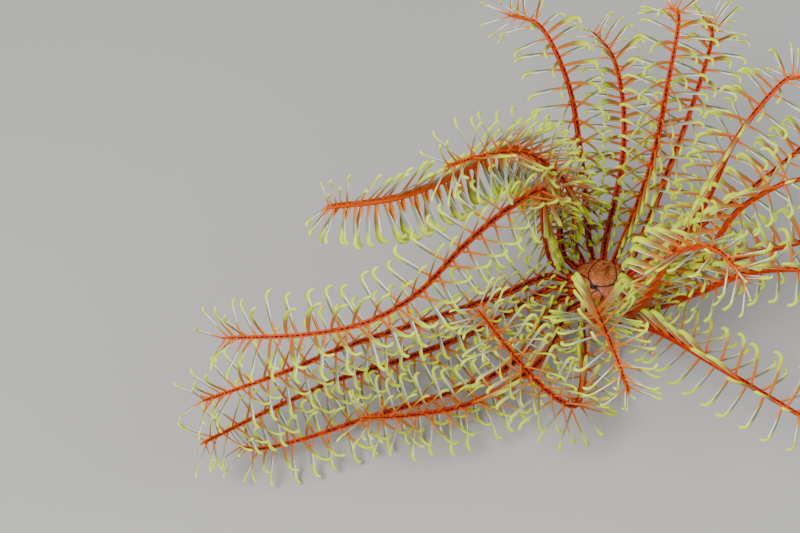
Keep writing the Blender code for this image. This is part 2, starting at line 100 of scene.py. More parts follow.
# Near arms by place round the disc: where they pass, in mm from the floor under the cup
NEAR_ARMS = {
    6: ((-10, 16, 38), (-18, 2, 70), (-33, -12, 97), (-49, -28, 112), (-59, -35, 115)),
    7: ((-16, 22, 36), (-26, 20, 62), (-39.5, 6.6, 79.7), (-57, -14.7, 89), (-74, -30, 96),
        (-94.4, -41, 103.8)),
    8: ((-22, 3, 42), (-25, -7, 68), (-28, -17, 85.5), (-41, -31, 90), (-53.5, -44.8, 90),
        (-68, -60, 85.5), (-82.5, -67.3, 81.6), (-100, -71.3, 80.8), (-125.5, -72.3, 80.2)),
    9: ((-37, -12, 26), (-62, -27, 31.5), (-91, -43.5, 37.5), (-109, -56.5, 42), (-135.5, -69.4, 43.3)),
    10: ((-44, -20, 17), (-73, -34, 17), (-92, -42, 18), (-113, -54, 19), (-129, -66, 22), (-137, -74, 26)),
    11: ((-33, -32, 13), (-55, -43, 11), (-84, -54, 11), (-107, -63, 11), (-120, -67, 12), (-126, -69, 16)),
    12: ((-24, -34, 17), (-48, -53, 19), (-69, -63, 26), (-86, -71, 36)),
    13: ((-9, -36, 17), (-13, -55, 22), (-18, -62, 31), (-27, -63.5, 43), (-38.4, -63, 61.7),
         (-49.3, -61.2, 80.2)),
}

# The far arms alternate between these (elevation at the root in degrees, reach, height of the tip)
FAR_SHAPES = ((58, 68 * MM, 92 * MM), (34, 104 * MM, 46 * MM), (50, 88 * MM, 74 * MM))

# A far arm's sway, its first station's share of the reach, and its crest's share of the tip's height
FAR_SWAY = math.radians(7)
FAR_FIRST = 0.28
FAR_CREST = 1.06

# Later stations of a far arm, as (share of its reach, share of the sway)
FAR_STATIONS = ((0.62, 0.4), (0.84, 1.0), (1.0, 1.6))

# How an arm leaves its ray: its first straight run, and how far its oral side leans to the axis there
ROOT_RUN = 4.0 * MM
ROOT_LEAN = 0.8
LEAD_MIDDLE = 0.6
TANGENT_REACH = 1.5 * MM
ROUTE_SAMPLES = 24

# A shaft's radius round its section, from the oral side to the aboral one, and along one ossicle
SHAFT_SIDES = 12
OSSICLE_RINGS = 4
SECTION = (0.60, 1.06, 1.04, 0.98, 0.96, 0.99, 1.02)
OSSICLE_WAIST = (0.96, 1.0, 1.02, 1.01)
GROOVE_BRIDGE = (0.24, -0.04, -0.10, -0.04)
LAPPET_BEADS = (-0.06, 0.06, -0.03, 0.06)
UNGROOVED_RISE = 0.4
WEDGE_TILT = 0.38

# An arm's radius falls with this power of the way along it, and by half at its very tip
TAPER = 1.3
TIP_FADE = 0.015
TIP_FALL = 0.5

# The turned arm widens over this run, as shares of its length
WIDENING = (0.1, 0.4)

RAY_OSSICLES = 3
TRUNK_RADIUS = 1.75 * MM
LIMB_RADIUS = 1.5 * MM
RAY_OVERLAP = 0.9 * MM
HUB_OVERLAP = 0.4 * MM

# Ossicles grow from this share of their full length at an arm's tip, over this many of them
TIP_OSSICLE = 0.42
GROWING_OSSICLES = 16

# A pinnule's rings as hundredths of its length, with the stalk's radius and the skirt's width there in mm
PINNULE_SIDES = 6
PINNULE_RINGS = (
    (0, 0.46, 0.0), (8, 0.39, 0.06), (32, 0.30, 0.42), (56, 0.27, 0.62), (75, 0.31, 0.62), (83, 0.41, 0.42),
    (88, 0.50, 0.22), (93, 0.55, 0.05), (97, 0.49, 0.0), (100, 0.26, 0.0),
)

# A pinnule's section as shares of its stalk's radius, from the skirt's side round to the other
PINNULE_SECTION = ((1.0, 0.0), (0.5, 0.87), (-0.5, 0.87), (-1.0, 0.0))
BEAD_RADIUS = 0.26 * MM

# How far the skirt of an oral pinnule turns to the mouth's side
ORAL_TWIST = math.radians(32)

# How far oral pinnules rise on the sides +1 and -1, and lean back, from these ways behind the arm's tip
ORAL_RISES = (math.radians(16), math.radians(-10))
ORAL_FOLD = math.radians(18)
FOLD_START, FOLD_END = 15.0 * MM, 60.0 * MM

# Shares of the hook on the sides +1 and -1, and of the skirt's width in side and oral rows
HOOKS = (1.0, 0.5)
SPREADS = (1.0, 2.5)

# The turned arm's tilts of side and oral rows, leans on the sides +1 and -1, and shares as above
BACK_TILTS = (math.radians(-38), math.radians(-22))
BACK_LEANS = (math.radians(-4), math.radians(-10))
BACK_HOOKS = (1.0, 0.2)
BACK_SPREADS = (1.3, 2.0)

# Its ossicles and girth as shares of the other arms' ones
BACK_OSSICLE = 0.78
BACK_GIRTH = 1.35

# Girth and skirts of its upper pinnules as shares of its own
BACK_UPPER_GIRTH = 0.8
BACK_UPPER_SPREAD = 0.35

# A pinnule's length at an arm's root and tip as a share of the greatest, and the run over which it grows
ROOT_LENGTH = 0.5
TIP_LENGTH = 0.8
GROWTH = (4.0 * MM, 38.0 * MM)

# What an arm's tip takes off a pinnule's hook, skirt and thickness, which falls along the whole arm too
TIP_HOOK_LOSS = 0.7
TIP_SPREAD_LOSS = 0.8
TIP_SLIM_LOSS = 0.25
ROOT_SLIM = 1.12
SLIM_LOSS = 0.12

# Random differences: of tilt, of lean at an arm's root and what its tip adds, and ranges of the others
TILT_NOISE = 0.07
LEAN_NOISE = 0.06
TIP_LEAN_NOISE = 0.24
LENGTH_RANGE = (0.9, 1.05)
HOOK_RANGE = (0.8, 1.15)
SPREAD_RANGE = (0.85, 1.15)
TONE_NOISE = 0.6

# A pinnule bows over its first part and curls over its last one, as shares of its length
CURVE_STEPS = 100
BOW, BOW_END = 0.12, 0.7
CURL = (0.74, 0.98)
BEADS = 22

# Where pinnules start, how far the tip's spray reaches back, and the room kept from shafts and the floor
FIRST_PINNULE = 5.0 * MM
TIP_STRETCH = 24.0 * MM
SHAFT_ROOM = 1.6 * MM
FLOOR_ROOM = 0.9 * MM
OWN_SHAFT_RUN = 7.0 * MM
CHECKED_STEPS = slice(20, None, 8)
SHAFT_STEP = 1.2 * MM

# A pinnule that meets a shaft or the floor is tried at these (share of its length, degrees of tilt)
PINNULE_TRIES = ((0.9, 15), (0.9, -15), (0.75, 30), (0.75, -30), (0.55, 0), (0.55, 40), (0.55, -40), (0.4, 0))

# A pinnule that meets another one is tried at these (degrees of tilt, degrees of lean, share of its length)
PINNULE_SWAYS = (
    (6, 0, 1), (-6, 0, 1), (0, 7, 1), (0, -7, 1), (9, 8, 1), (-9, 8, 1), (9, -8, 1), (-9, -8, 1),
    (14, 0, 0.95), (-14, 0, 0.95), (0, 15, 0.95), (0, -15, 0.95), (20, 10, 0.9), (-20, 10, 0.9),
    (20, -10, 0.9), (-20, -10, 0.9), (0, 0, 0.8), (10, 0, 0.75), (-10, 0, 0.75), (26, 0, 0.75),
    (-26, 0, 0.75), (0, 0, 0.62), (0, 14, 0.55),
)
SWAY_ROUNDS = 4

# The unwrap: each arm has one strip of the map, rays and disc have the rest
STRIP = 1 / 26
STRIP_FILL = 0.9
STRIP_INSET = 0.01
TUFT_PATCH = 0.003
DISC_MAP_REACH = 11.0 * MM
DISC_MAP_HALF = 2.25
DISC_MAP_MIDDLES = (0.15, 0.45)
DISC_MAP_ROW = 23.8
DISC_UNDER = 0.27
MAP_BLOCKS = 8
BLOCK_FILL = 0.9
CONE_SPAN = (0.9, 1.0)

# Food grooves on the disc, round a mouth at its rim
MOUTH_TURN = math.radians(230)
MOUTH_REACH = 6.0 * MM
MOUTH_RADIUS = 1.2 * MM
MOUTH_DEPTH = 1.4 * MM
FURROW_HUB = 6.4 * MM
FURROW_FORK = 8.2 * MM
FURROW_ROUND = 5.2 * MM
FURROW_WIDTH = 0.5 * MM
FURROW_DEPTH = 0.6 * MM
FURROW_RIM = 0.22 * MM
FURROW_TURN = 0.5
FURROW_SPLIT = 0.8
FURROW_OVERRUN = 1.06

# Relief of the disc, cone and cup: shares are of the radius, and waves are in radians for a turn or a length
DISC_LOBES = 0.055
DISC_DROOP = 0.5 * MM
WRINKLE = 0.07 * MM
WRINKLE_WAVES = ((33, 3.5 / MM), (21, -5.2 / MM))
CONE_RIBS = 10
CONE_RIB_SHARE = 0.07
CONE_RING_SHARE = 0.03
CONE_RING_WAVE = 9 / MM
PLATE_SHARE = 0.05
SUTURE_DEPTH = 0.35 * MM
SUTURE_SHARPNESS = 6
SOCKET_DEPTH = 0.18 * MM
CUP_GRAIN = 0.05 * MM
CUP_GRAIN_WAVES = (48, 160)

# Profiles as (radius in mm, height, share of the rings). The cone's heights are shares of its own
DISC_PROFILE = (
    (0.0, 17.3, 0.0), (5.0, 17.0, 0.10), (8.6, 16.9, 0.20), (9.5, 17.5, 0.27), (9.6, 18.6, 0.33),
    (9.2, 20.0, 0.40), (8.0, 21.3, 0.50), (6.0, 22.5, 0.64), (3.4, 23.15, 0.80), (1.6, 23.3, 0.90),
    (0.0, 23.3, 1.0),
)
CONE_PROFILE = (
    (2.5, -0.10, 0.0), (1.95, 0.06, 0.12), (1.6, 0.2, 0.25), (1.3, 0.5, 0.45), (1.2, 0.85, 0.65),
    (1.0, 0.98, 0.76), (0.75, 1.0, 0.82), (0.6, 0.93, 0.88), (0.5, 0.7, 0.95), (0.0, 0.6, 1.0),
)
CUP_PROFILE = (
    (0.0, 0.35, 0.0), (1.6, 0.1, 0.1), (2.9, 0.0, 0.18), (4.2, 0.7, 0.28), (4.6, 1.8, 0.38), (4.6, 3.0, 0.5),
    (4.1, 4.1, 0.6), (3.9, 4.4, 0.66), (4.2, 5.2, 0.74), (4.15, 7.4, 0.9), (3.4, 8.0, 0.96), (0.0, 8.05, 1.0),
)

# A cirrus from the cup outwards, as (distance from the axis, height) in mm, and one joint's waist
CIRRUS_ROUTE = (
    (4.2, 11.4), (5.2, 11.7), (8.5, 13.0), (14.0, 12.0), (18.5, 8.0), (21.8, 3.0), (24.5, 0.62),
    (27.6, 0.5), (29.0, 0.34),
)
CIRRUS_WAIST = (0.86, 0.92, 0.98, 1.1)
CIRRUS_SIDES = 10
CIRRUS_RADIUS = 0.8 * MM
CIRRUS_TAPER = 0.25 * MM

# The claw narrows over its joints by this share, and a spine stands before it
CLAW_JOINTS = 1.6
CLAW_POINT = 0.88
SPINE_JOINTS = 1.7
SPINE_SHARPNESS = 2.2
SPINE_HEIGHT = 0.35 * MM

# The stage
LIGHT_AIM = (0, 0, 0.05)
CAMERA_PLACE = (-0.0551, -0.3519, 0.437)
CAMERA_TILT = math.radians(40)
WORLD_COLOUR = (0.95, 0.95, 0.96, 1)
WORLD_STRENGTH = 0.45


def around(azimuth, radius, height):
    return Vector((radius * math.cos(azimuth), radius * math.sin(azimuth), height))


def unit(vectors):
    return vectors / np.linalg.norm(vectors, axis=-1, keepdims=True)


def smoothstep(low, high, values):
    share = np.clip((values - low) / (high - low), 0, 1)
    return share * share * (3 - 2 * share)


# Settings

def length_of(label, text, default):
    return FloatProperty(name=label, description=text, default=default, min=0, precision=5, unit="LENGTH")


def angle_of(label, text, degrees):
    return FloatProperty(name=label, description=text, default=math.radians(degrees), subtype="ANGLE")


def colour_of(label, text, default):
    return FloatVectorProperty(name=label, description=text, default=default, min=0, max=1, subtype="COLOR")


def power_of(label, text, default):
    return FloatProperty(name=label, description=text, default=default, min=0, unit="POWER")


class CrinoidArmSettings(bpy.types.PropertyGroup):
    ossicle: length_of("Ossicle length", "Length of one arm ossicle", 1.65 * MM)
    base_radius: length_of("Root radius", "Radius of an arm at its root", 1.3 * MM)
    tip_radius: length_of("Tip radius", "Radius of an arm at its tip", 0.66 * MM)


class CrinoidPinnuleSettings(bpy.types.PropertyGroup):
    length: length_of("Length", "Length of the longest pinnules", 16 * MM)
    oral_tilt: angle_of("Oral tilt", "How far the oral rows stand up from the arm's sides", 50)
    side_tilt: angle_of("Side tilt", "How far the side rows droop from the arm's sides", -10)
    lean: angle_of("Lean", "How far a side pinnule leans towards the arm's tip", 13)
    oral_lean: angle_of("Oral lean", "How far an oral pinnule leans towards the arm's tip", -7)
    tip_lean: angle_of("Lean at the tip", "The same at the arm's tip", 60)
    hook: angle_of("Hook", "How far a pinnule's end curls back", 98)
    seed: IntProperty(name="Seed", description="Seed of the small differences", default=11)


class CrinoidBodySettings(bpy.types.PropertyGroup):
    disc_radius: length_of("Disc radius", "Radius of the disc", (DISC_HIGH.x - DISC_LOW.x) / 2)
    cirrals: IntProperty(name="Cirrals", description="Number of joints in a foot", default=19, min=4)


class CrinoidColours(bpy.types.PropertyGroup):
    shaft: colour_of("Shaft", "Arm shaft near its tip", (0.43, 0.018, 0.0))
    shaft_deep: colour_of("Deep shaft", "Arm shaft near the disc", (0.40, 0.013, 0.0))
    lappet: colour_of("Lappets", "Beads beside the food groove", (0.68, 0.07, 0.0))
    amber: colour_of("Amber", "Arm tips and backs", (0.70, 0.115, 0.0))
    # Painted shade: near black for the inside of the food grooves, the mouth and the anal cone's opening
    groove: colour_of("Groove", "Food groove", (0.006, 0.002, 0.002))
    bead: colour_of("Beads", "Pale pinnule ossicles", (0.95, 0.95, 0.86))
    tip: colour_of("Tips", "Hooked ends of the pinnules", (0.51, 0.65, 0.01))
    pale_tip: colour_of("Pale tips", "Hooked ends of the palest pinnules", (0.66, 0.74, 0.16))
    skirt: colour_of("Skirt", "Soft edge of the side pinnules", (0.17, 0.20, 0.07))
    # Painted highlight: a silvery sheen laid on the skirts of the palest side pinnules
    painted_silver_sheen: colour_of("Silver skirt", "Soft edge of the palest side pinnules", (0.19, 0.24, 0.28))
    oral_skirt: colour_of("Oral skirt", "Soft side of the oral pinnules", (0.29, 0.17, 0.035))
    disc: colour_of("Disc", "Soft disc", (0.30, 0.07, 0.018))
    cup: colour_of("Cup", "Bony cup", (0.55, 0.17, 0.03))
    cirrus: colour_of("Feet", "Cirri", (0.78, 0.42, 0.08))


class CrinoidStageSettings(bpy.types.PropertyGroup):
    floor: colour_of("Floor", "Colour of the floor", (0.37, 0.37, 0.365))
    key: power_of("Key light", "Power of the key light", 20)
    fill: power_of("Fill light", "Power of the fill light", 6)
    lens: FloatProperty(name="Lens", description="Focal length", default=67.5, min=1, unit="CAMERA")


# Materials

class Finish:
    """Builds a material's nodes."""

    def __init__(self, name, roughness, coat=0.0, specular=0.5):
        self.material = bpy.data.materials.new(name)
        self.material.use_nodes = True
        self.tree = self.material.node_tree
        self.shader = self.tree.nodes["Principled BSDF"]
        self.shader.inputs["Roughness"].default_value = roughness
        self.shader.inputs["Coat Weight"].default_value = coat
        self.shader.inputs["Coat Roughness"].default_value = 0.25
        self.shader.inputs["Specular IOR Level"].default_value = specular

    def node(self, kind, **inputs):
        made = self.tree.nodes.new(kind)
        for label, value in inputs.items():
            self.feed(made.inputs[label.replace("_", " ")], value)
        return made

    def feed(self, socket, value):
        if isinstance(value, bpy.types.NodeSocket):
            self.tree.links.new(value, socket)
        elif socket.type == "RGBA":
            socket.default_value = (*value, 1)
        else:
            socket.default_value = value

    def maths(self, operation, *values):
        made = self.tree.nodes.new("ShaderNodeMath")
        made.operation = operation
        for socket, value in zip(made.inputs, values):
            self.feed(socket, value)
        return made.outputs[0]

    def times(self, first, second):
        return self.maths("MULTIPLY", first, second)

    def plus(self, first, second):
        return self.maths("ADD", first, second)

    def minus(self, first, second):
        return self.maths("SUBTRACT", first, second)

    def band(self, value, low, high, soft):
        """1 where value lies between low and high, with soft ends."""
        rise = self.window(value, low - soft, low + soft)
        fall = self.window(value, high - soft, high + soft)
        return self.minus(rise, fall)

    def window(self, value, low, high):
        made = self.tree.nodes.new("ShaderNodeMapRange")
        made.interpolation_type = "SMOOTHSTEP"
        self.feed(made.inputs["Value"], value)
        made.inputs["From Min"].default_value = low
        made.inputs["From Max"].default_value = high
        return made.outputs["Result"]

    def mix(self, factor, first, second, blend="MIX"):
        made = self.tree.nodes.new("ShaderNodeMix")
        made.data_type = "RGBA"
        made.blend_type = blend
        self.feed(made.inputs["Factor"], factor)
        self.feed(made.inputs[6], first)
        self.feed(made.inputs[7], second)
        return made.outputs[2]

    def ramp(self, factor, stops):
        made = self.tree.nodes.new("ShaderNodeValToRGB")
        self.feed(made.inputs["Fac"], factor)
        elements = made.color_ramp.elements
        while len(elements) < len(stops):
            elements.new(0.5)
        for element, (place, colour) in zip(elements, stops):
            element.position = place
            element.color = (*colour, 1)
        return made.outputs["Color"]

    def noise(self, scale, detail=2.0):
        place = self.tree.nodes.new("ShaderNodeTexCoord").outputs["Object"]
        return self.node("ShaderNodeTexNoise", Vector=place, Scale=scale, Detail=detail).outputs["Fac"]

    def dots(self, scale, size):
        """1 on round dots scattered over the surface."""
        place = self.tree.nodes.new("ShaderNodeTexCoord").outputs["Object"]
        cells = self.node("ShaderNodeTexVoronoi", Vector=place, Scale=scale)
        return self.window(cells.outputs["Distance"], size, size * 0.6)

    def round_spot(self, across, along, width, length):
        """1 at the middle of a spot, falling to 0 at its rim, from ways across and along it."""
        squares = []
        for way, size in ((across, width), (along, length)):
            squares.append(self.times(self.maths("DIVIDE", way, size), self.maths("DIVIDE", way, size)))
        return self.window(self.plus(*squares), 1.25, 0.6)

    def lie(self):
        """The share round a tube and the count or share along it."""
        made = self.tree.nodes.new("ShaderNodeUVMap")
        made.uv_map = LIE
        parts = self.node("ShaderNodeSeparateXYZ", Vector=made.outputs["UV"])
        return parts.outputs["X"], parts.outputs["Y"]

    def attribute(self, name):
        made = self.tree.nodes.new("ShaderNodeAttribute")
        made.attribute_name = name
        return made.outputs["Fac"]

    def bump(self, height, distance):
        made = self.node("ShaderNodeBump", Height=height, Distance=distance, Strength=1.0)
        self.feed(self.shader.inputs["Normal"], made.outputs["Normal"])

    def lay(self, colour, share, amount=1, blend="MIX"):
        """Lays a colour over the body's where share is 1, by the amount at most."""
        factor = share if amount == 1 else self.times(share, amount)
        self.body = self.mix(factor, self.body, colour, blend)

    def finished(self):
        self.feed(self.shader.inputs["Base Color"], self.body)
        return self.material


def shaft_finish(tones):
    made = Finish("shaft_red", roughness=0.5, specular=0.14)
    round_share, ossicles = made.lie()
    phase = made.maths("FRACT", ossicles)
    from_oral = made.maths("ABSOLUTE", made.minus(round_share, 0.5))
    reach = made.attribute("reach")
    warmth = made.window(made.plus(reach, made.times(made.noise(90, 4), 0.4)), 0.15, 1.1)
    made.body = made.mix(warmth, tones.shaft_deep, tones.shaft)
    back = made.times(made.window(from_oral, 0.2, 0.42), warmth)
    glow = made.maths("MAXIMUM", back, made.window(reach, 0.62, 1.0))
    made.lay(tones.amber, glow, 0.62)
    joint = made.plus(made.band(phase, -0.1, 0.04, 0.05), made.band(phase, 0.96, 1.1, 0.05))
    made.lay(tones.shaft_deep, joint, 0.22, "MULTIPLY")
    bead_run = made.maths("PINGPONG", made.plus(ossicles, 0.25), 0.25)
    bead = made.round_spot(made.minus(from_oral, 0.105), bead_run, 0.035, 0.17)
    made.lay(tones.lappet, bead)
    speck = made.times(made.dots(2300, 0.36), made.window(from_oral, 0.12, 0.2))
    made.lay((0.85, 0.22, 0.03), speck, 0.3)
    uneven = made.times(made.minus(made.noise(420, 2), 0.5), 0.5)
    along = made.plus(made.maths("ABSOLUTE", made.minus(phase, 0.5)), uneven)
    long = made.minus(0.44, made.times(reach, 0.14))
    # Painted shade in the food groove: a dark rim, then each dash painted near black where the groove runs
    # deep between its bridges
    made.lay((0.22, 0.008, 0.0), made.round_spot(from_oral, along, 0.07, 0.55))
    dash = made.round_spot(from_oral, along, 0.04, long)
    made.lay(tones.groove, dash)
    made.feed(made.shader.inputs["Roughness"], made.plus(made.times(dash, 0.4), 0.48))
    height = made.plus(made.times(joint, -0.35), made.times(bead, 0.5))
    height = made.plus(height, made.times(made.noise(900, 3), 0.4))
    made.bump(height, 0.1 * MM)
    return made.finished()


def pinnule_share(made):
    """The share along a pinnule, the same with a drift, and the pinnule's own tone."""
    _, share = made.lie()
    drift = made.times(made.minus(made.noise(140), 0.5), 0.22)
    tone = made.attribute("tone")
    late = made.times(made.minus(tone, 0.5), 0.16)
    return share, made.plus(share, made.plus(drift, late)), tone


def bead_finish(tones):
    made = Finish("pinnule_beads", roughness=0.4, specular=0.18)
    share, drifted, tone = pinnule_share(made)
    bead, tip = tones.bead, tones.tip
    made.body = made.ramp(drifted, (
        (0.0, tones.lappet), (0.1, (0.85, 0.15, 0.0)), (0.28, (0.95, 0.29, 0.004)),
        (0.38, (0.92, 0.50, 0.14)), (0.46, bead), (0.72, bead), (0.83, tip), (1.0, tip)))
    gap = made.window(made.maths("PINGPONG", made.times(share, BEADS), 0.5), 0.2, 0.06)
    gap = made.times(gap, made.band(share, 0.06, 0.76, 0.05))
    made.lay(tones.pale_tip, made.window(share, 0.8, 1.0), tone)
    made.lay((0.42, 0.30, 0.22), gap, 0.9, "MULTIPLY")
    grain = made.times(made.noise(2200, 2), 0.4)
    made.bump(made.minus(grain, gap), 0.08 * MM)
    return made.finished()


def skirt_finish(tones):
    made = Finish("pinnule_skirt", roughness=0.45, specular=0.2)
    share, drifted, tone = pinnule_share(made)
    skirt, oral, tip = tones.skirt, tones.oral_skirt, tones.tip
    side = made.ramp(drifted, (
        (0.0, (0.46, 0.07, 0.006)), (0.18, (0.38, 0.11, 0.02)), (0.38, skirt), (0.58, skirt),
        (0.80, tip), (1.0, tip)))
    mouth = made.ramp(drifted, (
        (0.0, (0.54, 0.08, 0.004)), (0.3, (0.42, 0.12, 0.015)), (0.55, oral), (0.78, tip), (1.0, tip)))
    # Painted highlight: a silvery sheen over the middle of the side skirts, most on the palest pinnules
    painted_silver_sheen = made.times(made.band(drifted, 0.36, 0.66, 0.1), made.window(tone, 0.2, 0.9))
    side = made.mix(made.times(painted_silver_sheen, 0.7), side, tones.painted_silver_sheen)
    made.body = made.mix(made.attribute("oral"), side, mouth)
    made.lay(tones.pale_tip, made.window(share, 0.8, 1.0), tone)
    made.bump(made.times(made.noise(1800, 3), 0.6), 0.08 * MM)
    return made.finished()


def disc_finish(tones):
    made = Finish("disc_skin", roughness=0.5, coat=0.1)
    furrow = made.attribute("furrow")
    fine = made.noise(1300, 3)
    made.body = made.mix(made.window(made.noise(260, 4), 0.3, 0.7), tones.disc, (0.48, 0.13, 0.03))
    dots = made.dots(1150, 0.34)
    made.lay((0.80, 0.50, 0.12), dots, 0.7)
    beads = made.times(made.band(furrow, 0.25, 0.7, 0.1), made.dots(1500, 0.5))
    made.lay(tones.lappet, beads)
    # Painted shade: the deepest parts of the food grooves, the mouth pit and the anal cone's opening are
    # painted near black
    made.lay(tones.groove, made.window(furrow, 0.66, 0.9))
    made.bump(made.plus(fine, dots), 0.15 * MM)
    return made.finished()


def cup_finish(tones):
    made = Finish("cup_bone", roughness=0.6)
    made.body = made.mix(made.window(made.noise(500, 4), 0.35, 0.65), tones.cup, (0.70, 0.33, 0.09))
    pits = made.window(made.noise(2600, 1), 0.6, 0.7)
    made.lay((0.22, 0.05, 0.015), pits, 0.5)
    made.bump(made.minus(made.noise(700, 3), pits), 0.12 * MM)
    return made.finished()


def cirrus_finish(tones):
    made = Finish("cirrus_gold", roughness=0.4, coat=0.1)
    _, joints = made.lie()
    phase = made.maths("FRACT", joints)
    made.body = made.mix(made.window(made.noise(300, 3), 0.3, 0.7), tones.cirrus, (0.85, 0.28, 0.05))
    ring = made.plus(made.band(phase, -0.1, 0.09, 0.05), made.band(phase, 0.9, 1.1, 0.04))
    made.lay((0.42, 0.09, 0.02), ring, 0.7)
    made.bump(made.minus(made.times(made.noise(1600, 2), 0.5), ring), 0.1 * MM)
    return made.finished()


def floor_finish(colour):
    made = Finish("floor_matt", roughness=0.9, specular=0.2)
    made.body = colour
    made.lay((0.5, 0.5, 0.5), made.window(made.noise(6, 3), 0.2, 0.8), 0.06)
    return made.finished()


# Meshes

def straight_tube(rings, sides):
    """A closed tube of radius 1 along +Z from 0 to 1, with the Lie map on it."""
    bm = bmesh.new()
    lie = bm.loops.layers.uv.new(LIE)
    bmesh.ops.create_grid(bm, x_segments=sides, y_segments=rings, size=0.5, calc_uvs=True)
    for vert in bm.verts:
        angle = (vert.co.x + 0.5) * math.tau
        vert.co = (math.cos(angle), math.sin(angle), vert.co.y + 0.5)
    bmesh.ops.remove_doubles(bm, verts=bm.verts, dist=SEAM_REACH)
    rims = [e for e in bm.edges if e.is_boundary]
    for face in bmesh.ops.holes_fill(bm, edges=rims, sides=0)["faces"]:
        for loop in face.loops:
            loop[lie].uv = (0.5, loop.vert.co.z)
    bmesh.ops.recalc_face_normals(bm, faces=bm.faces)
    mesh = bpy.data.meshes.new("tube")
    bm.to_mesh(mesh)
    bm.free()
    return mesh


def linked(name, data):
    obj = bpy.data.objects.new(name, data)
    bpy.context.scene.collection.objects.link(obj)
    return obj


def object_of(mesh, name, *finishes):
    mesh.name = name
    for finish in finishes:
        mesh.materials.append(finish)
    mesh.shade_smooth()
    return linked(name, mesh)


def values_of(items, field, width):
    """One field of all points, corners or values of a mesh, as rows."""
    values = np.empty(len(items) * width, np.float32)
    items.foreach_get(field, values)
    return values.reshape(-1, width).astype(float)


def put_values(items, field, values):
    items.foreach_set(field, np.ascontiguousarray(values, np.float32).ravel())


def points_of(mesh):
    return values_of(mesh.vertices, "co", 3)


def put_points(mesh, points):
    put_values(mesh.vertices, "co", points)
    mesh.update()


def map_of(mesh, name):
    return values_of(mesh.uv_layers[name].uv, "vector", 2)


def put_map(mesh, name, values):
    layer = mesh.uv_layers.get(name) or mesh.uv_layers.new(name=name, do_init=False)
    put_values(layer.uv, "vector", values)


def put_attribute(mesh, name, values):
    put_values(mesh.attributes.new(name, "FLOAT", "POINT").data, "value", values)


def lathed(rings, sides, profile):
    """A closed tube, and each point's share along it, azimuth, radius and height from the profile."""
    mesh = straight_tube(rings, sides)
    points = points_of(mesh)
    share, azimuth = points[:, 2], np.arctan2(points[:, 1], points[:, 0])
    radii, heights, shares = np.array(profile).T
    return mesh, share, azimuth, np.interp(share, shares, radii) * MM, np.interp(share, shares, heights)


def put_round(mesh, azimuth, radius, height):
    """Moves the points of a lathed tube to their places round the axis."""
    across, deep = AXIS.x + radius * np.cos(azimuth), AXIS.y + radius * np.sin(azimuth)
    put_points(mesh, np.stack([across, deep, height], axis=1))


def numbered(points, rings, sides):
    """Each point's ring along a straight tube, and its corner from -sides / 2 to sides / 2."""
    corners = np.arctan2(points[:, 1], points[:, 0]) / math.tau * sides
    return np.rint(points[:, 2] * rings).astype(int), np.rint(corners).astype(int)


def count_along(mesh, count):
    """Makes the Lie map count joints along a tube, and gives each corner's count."""
    lie = map_of(mesh, LIE)
    lie[:, 1] *= count
    put_map(mesh, LIE, lie)
    return lie[:, 1]


def joined(objects, name):
    """The objects as one."""
    with bpy.context.temp_override(active_object=objects[0], selected_editable_objects=objects):
        bpy.ops.object.join()
    objects[0].name = name
    objects[0].data.name = name
    return objects[0]


def arrayed(mesh, count):
    """The mesh repeated count times in one, all in one place."""
    obj = linked("row", mesh)
    array = obj.modifiers.new("row", "ARRAY")
    array.count = count
    array.use_relative_offset = False
    array.use_constant_offset = True
    array.constant_offset_displace = (0, 0, 0)
    graph = bpy.context.evaluated_depsgraph_get()
    made = bpy.data.meshes.new_from_object(obj.evaluated_get(graph))
    bpy.data.objects.remove(obj)
    return made


def arm_nodes(index):
    return [f"arm_{index + 1:02d}_{half}" for half in ("inner", "outer")]


def place(piece, slot, *nodes):
    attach(piece, "root")
    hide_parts(*nodes)


# Routes

def smooth_route(points):
    """Points along a centripetal Catmull-Rom curve through the route's own points."""
    ends = [points[0] * 2 - points[1], *points, points[-1] * 2 - points[-2]]
    route = []
    for p0, p1, p2, p3 in zip(ends, ends[1:], ends[2:], ends[3:]):
        t1 = math.sqrt((p1 - p0).length)
        t2 = t1 + math.sqrt((p2 - p1).length)
        t3 = t2 + math.sqrt((p3 - p2).length)
        for k in range(ROUTE_SAMPLES):
            t = t1 + (t2 - t1) * k / ROUTE_SAMPLES
            a1 = p0.lerp(p1, t / t1)
            a2 = p1.lerp(p2, (t - t1) / (t2 - t1))
            a3 = p2.lerp(p3, (t - t2) / (t3 - t2))
            b1 = a1.lerp(a2, t / t2)
            b2 = a2.lerp(a3, (t - t1) / (t3 - t1))
            route.append(b1.lerp(b2, (t - t1) / (t2 - t1)))
    route.append(points[-1].copy())
    return route


class Route:
    """A curve measured from an arm's root, with a tangent and an oral direction at each place."""

    def __init__(self, points, oral_at_root, oral_at_tip, lead=()):
        whole = [*lead, *smooth_route(points)]
        self.points = np.array([tuple(p + AXIS) for p in whole])
        steps = np.linalg.norm(np.diff(self.points, axis=0), axis=1)
        along = np.concatenate([[0], np.cumsum(steps)])
        self.lead = along[len(lead)]
        self.along = along - self.lead
        self.length = self.along[-1]
        self.oral_ends = np.array([tuple(oral_at_root), tuple(oral_at_tip)])

    def at(self, s):
        return np.stack([np.interp(s, self.along, self.points[:, k]) for k in range(3)], axis=-1)

    def frames(self, s):
        """Centres, tangents and oral directions at the places s."""
        ahead = self.at(np.minimum(s + TANGENT_REACH, self.length))
        behind = self.at(np.maximum(s - TANGENT_REACH, -self.lead))
        tangents = unit(ahead - behind)
        share = np.clip(s / (ORAL_TURN_SHARE * self.length), 0, 1)[..., None]
        wanted = self.oral_ends[0] * (1 - share) + self.oral_ends[1] * share
        orals = unit(wanted - tangents * np.sum(wanted * tangents, axis=-1, keepdims=True))
        return self.at(s), tangents, orals


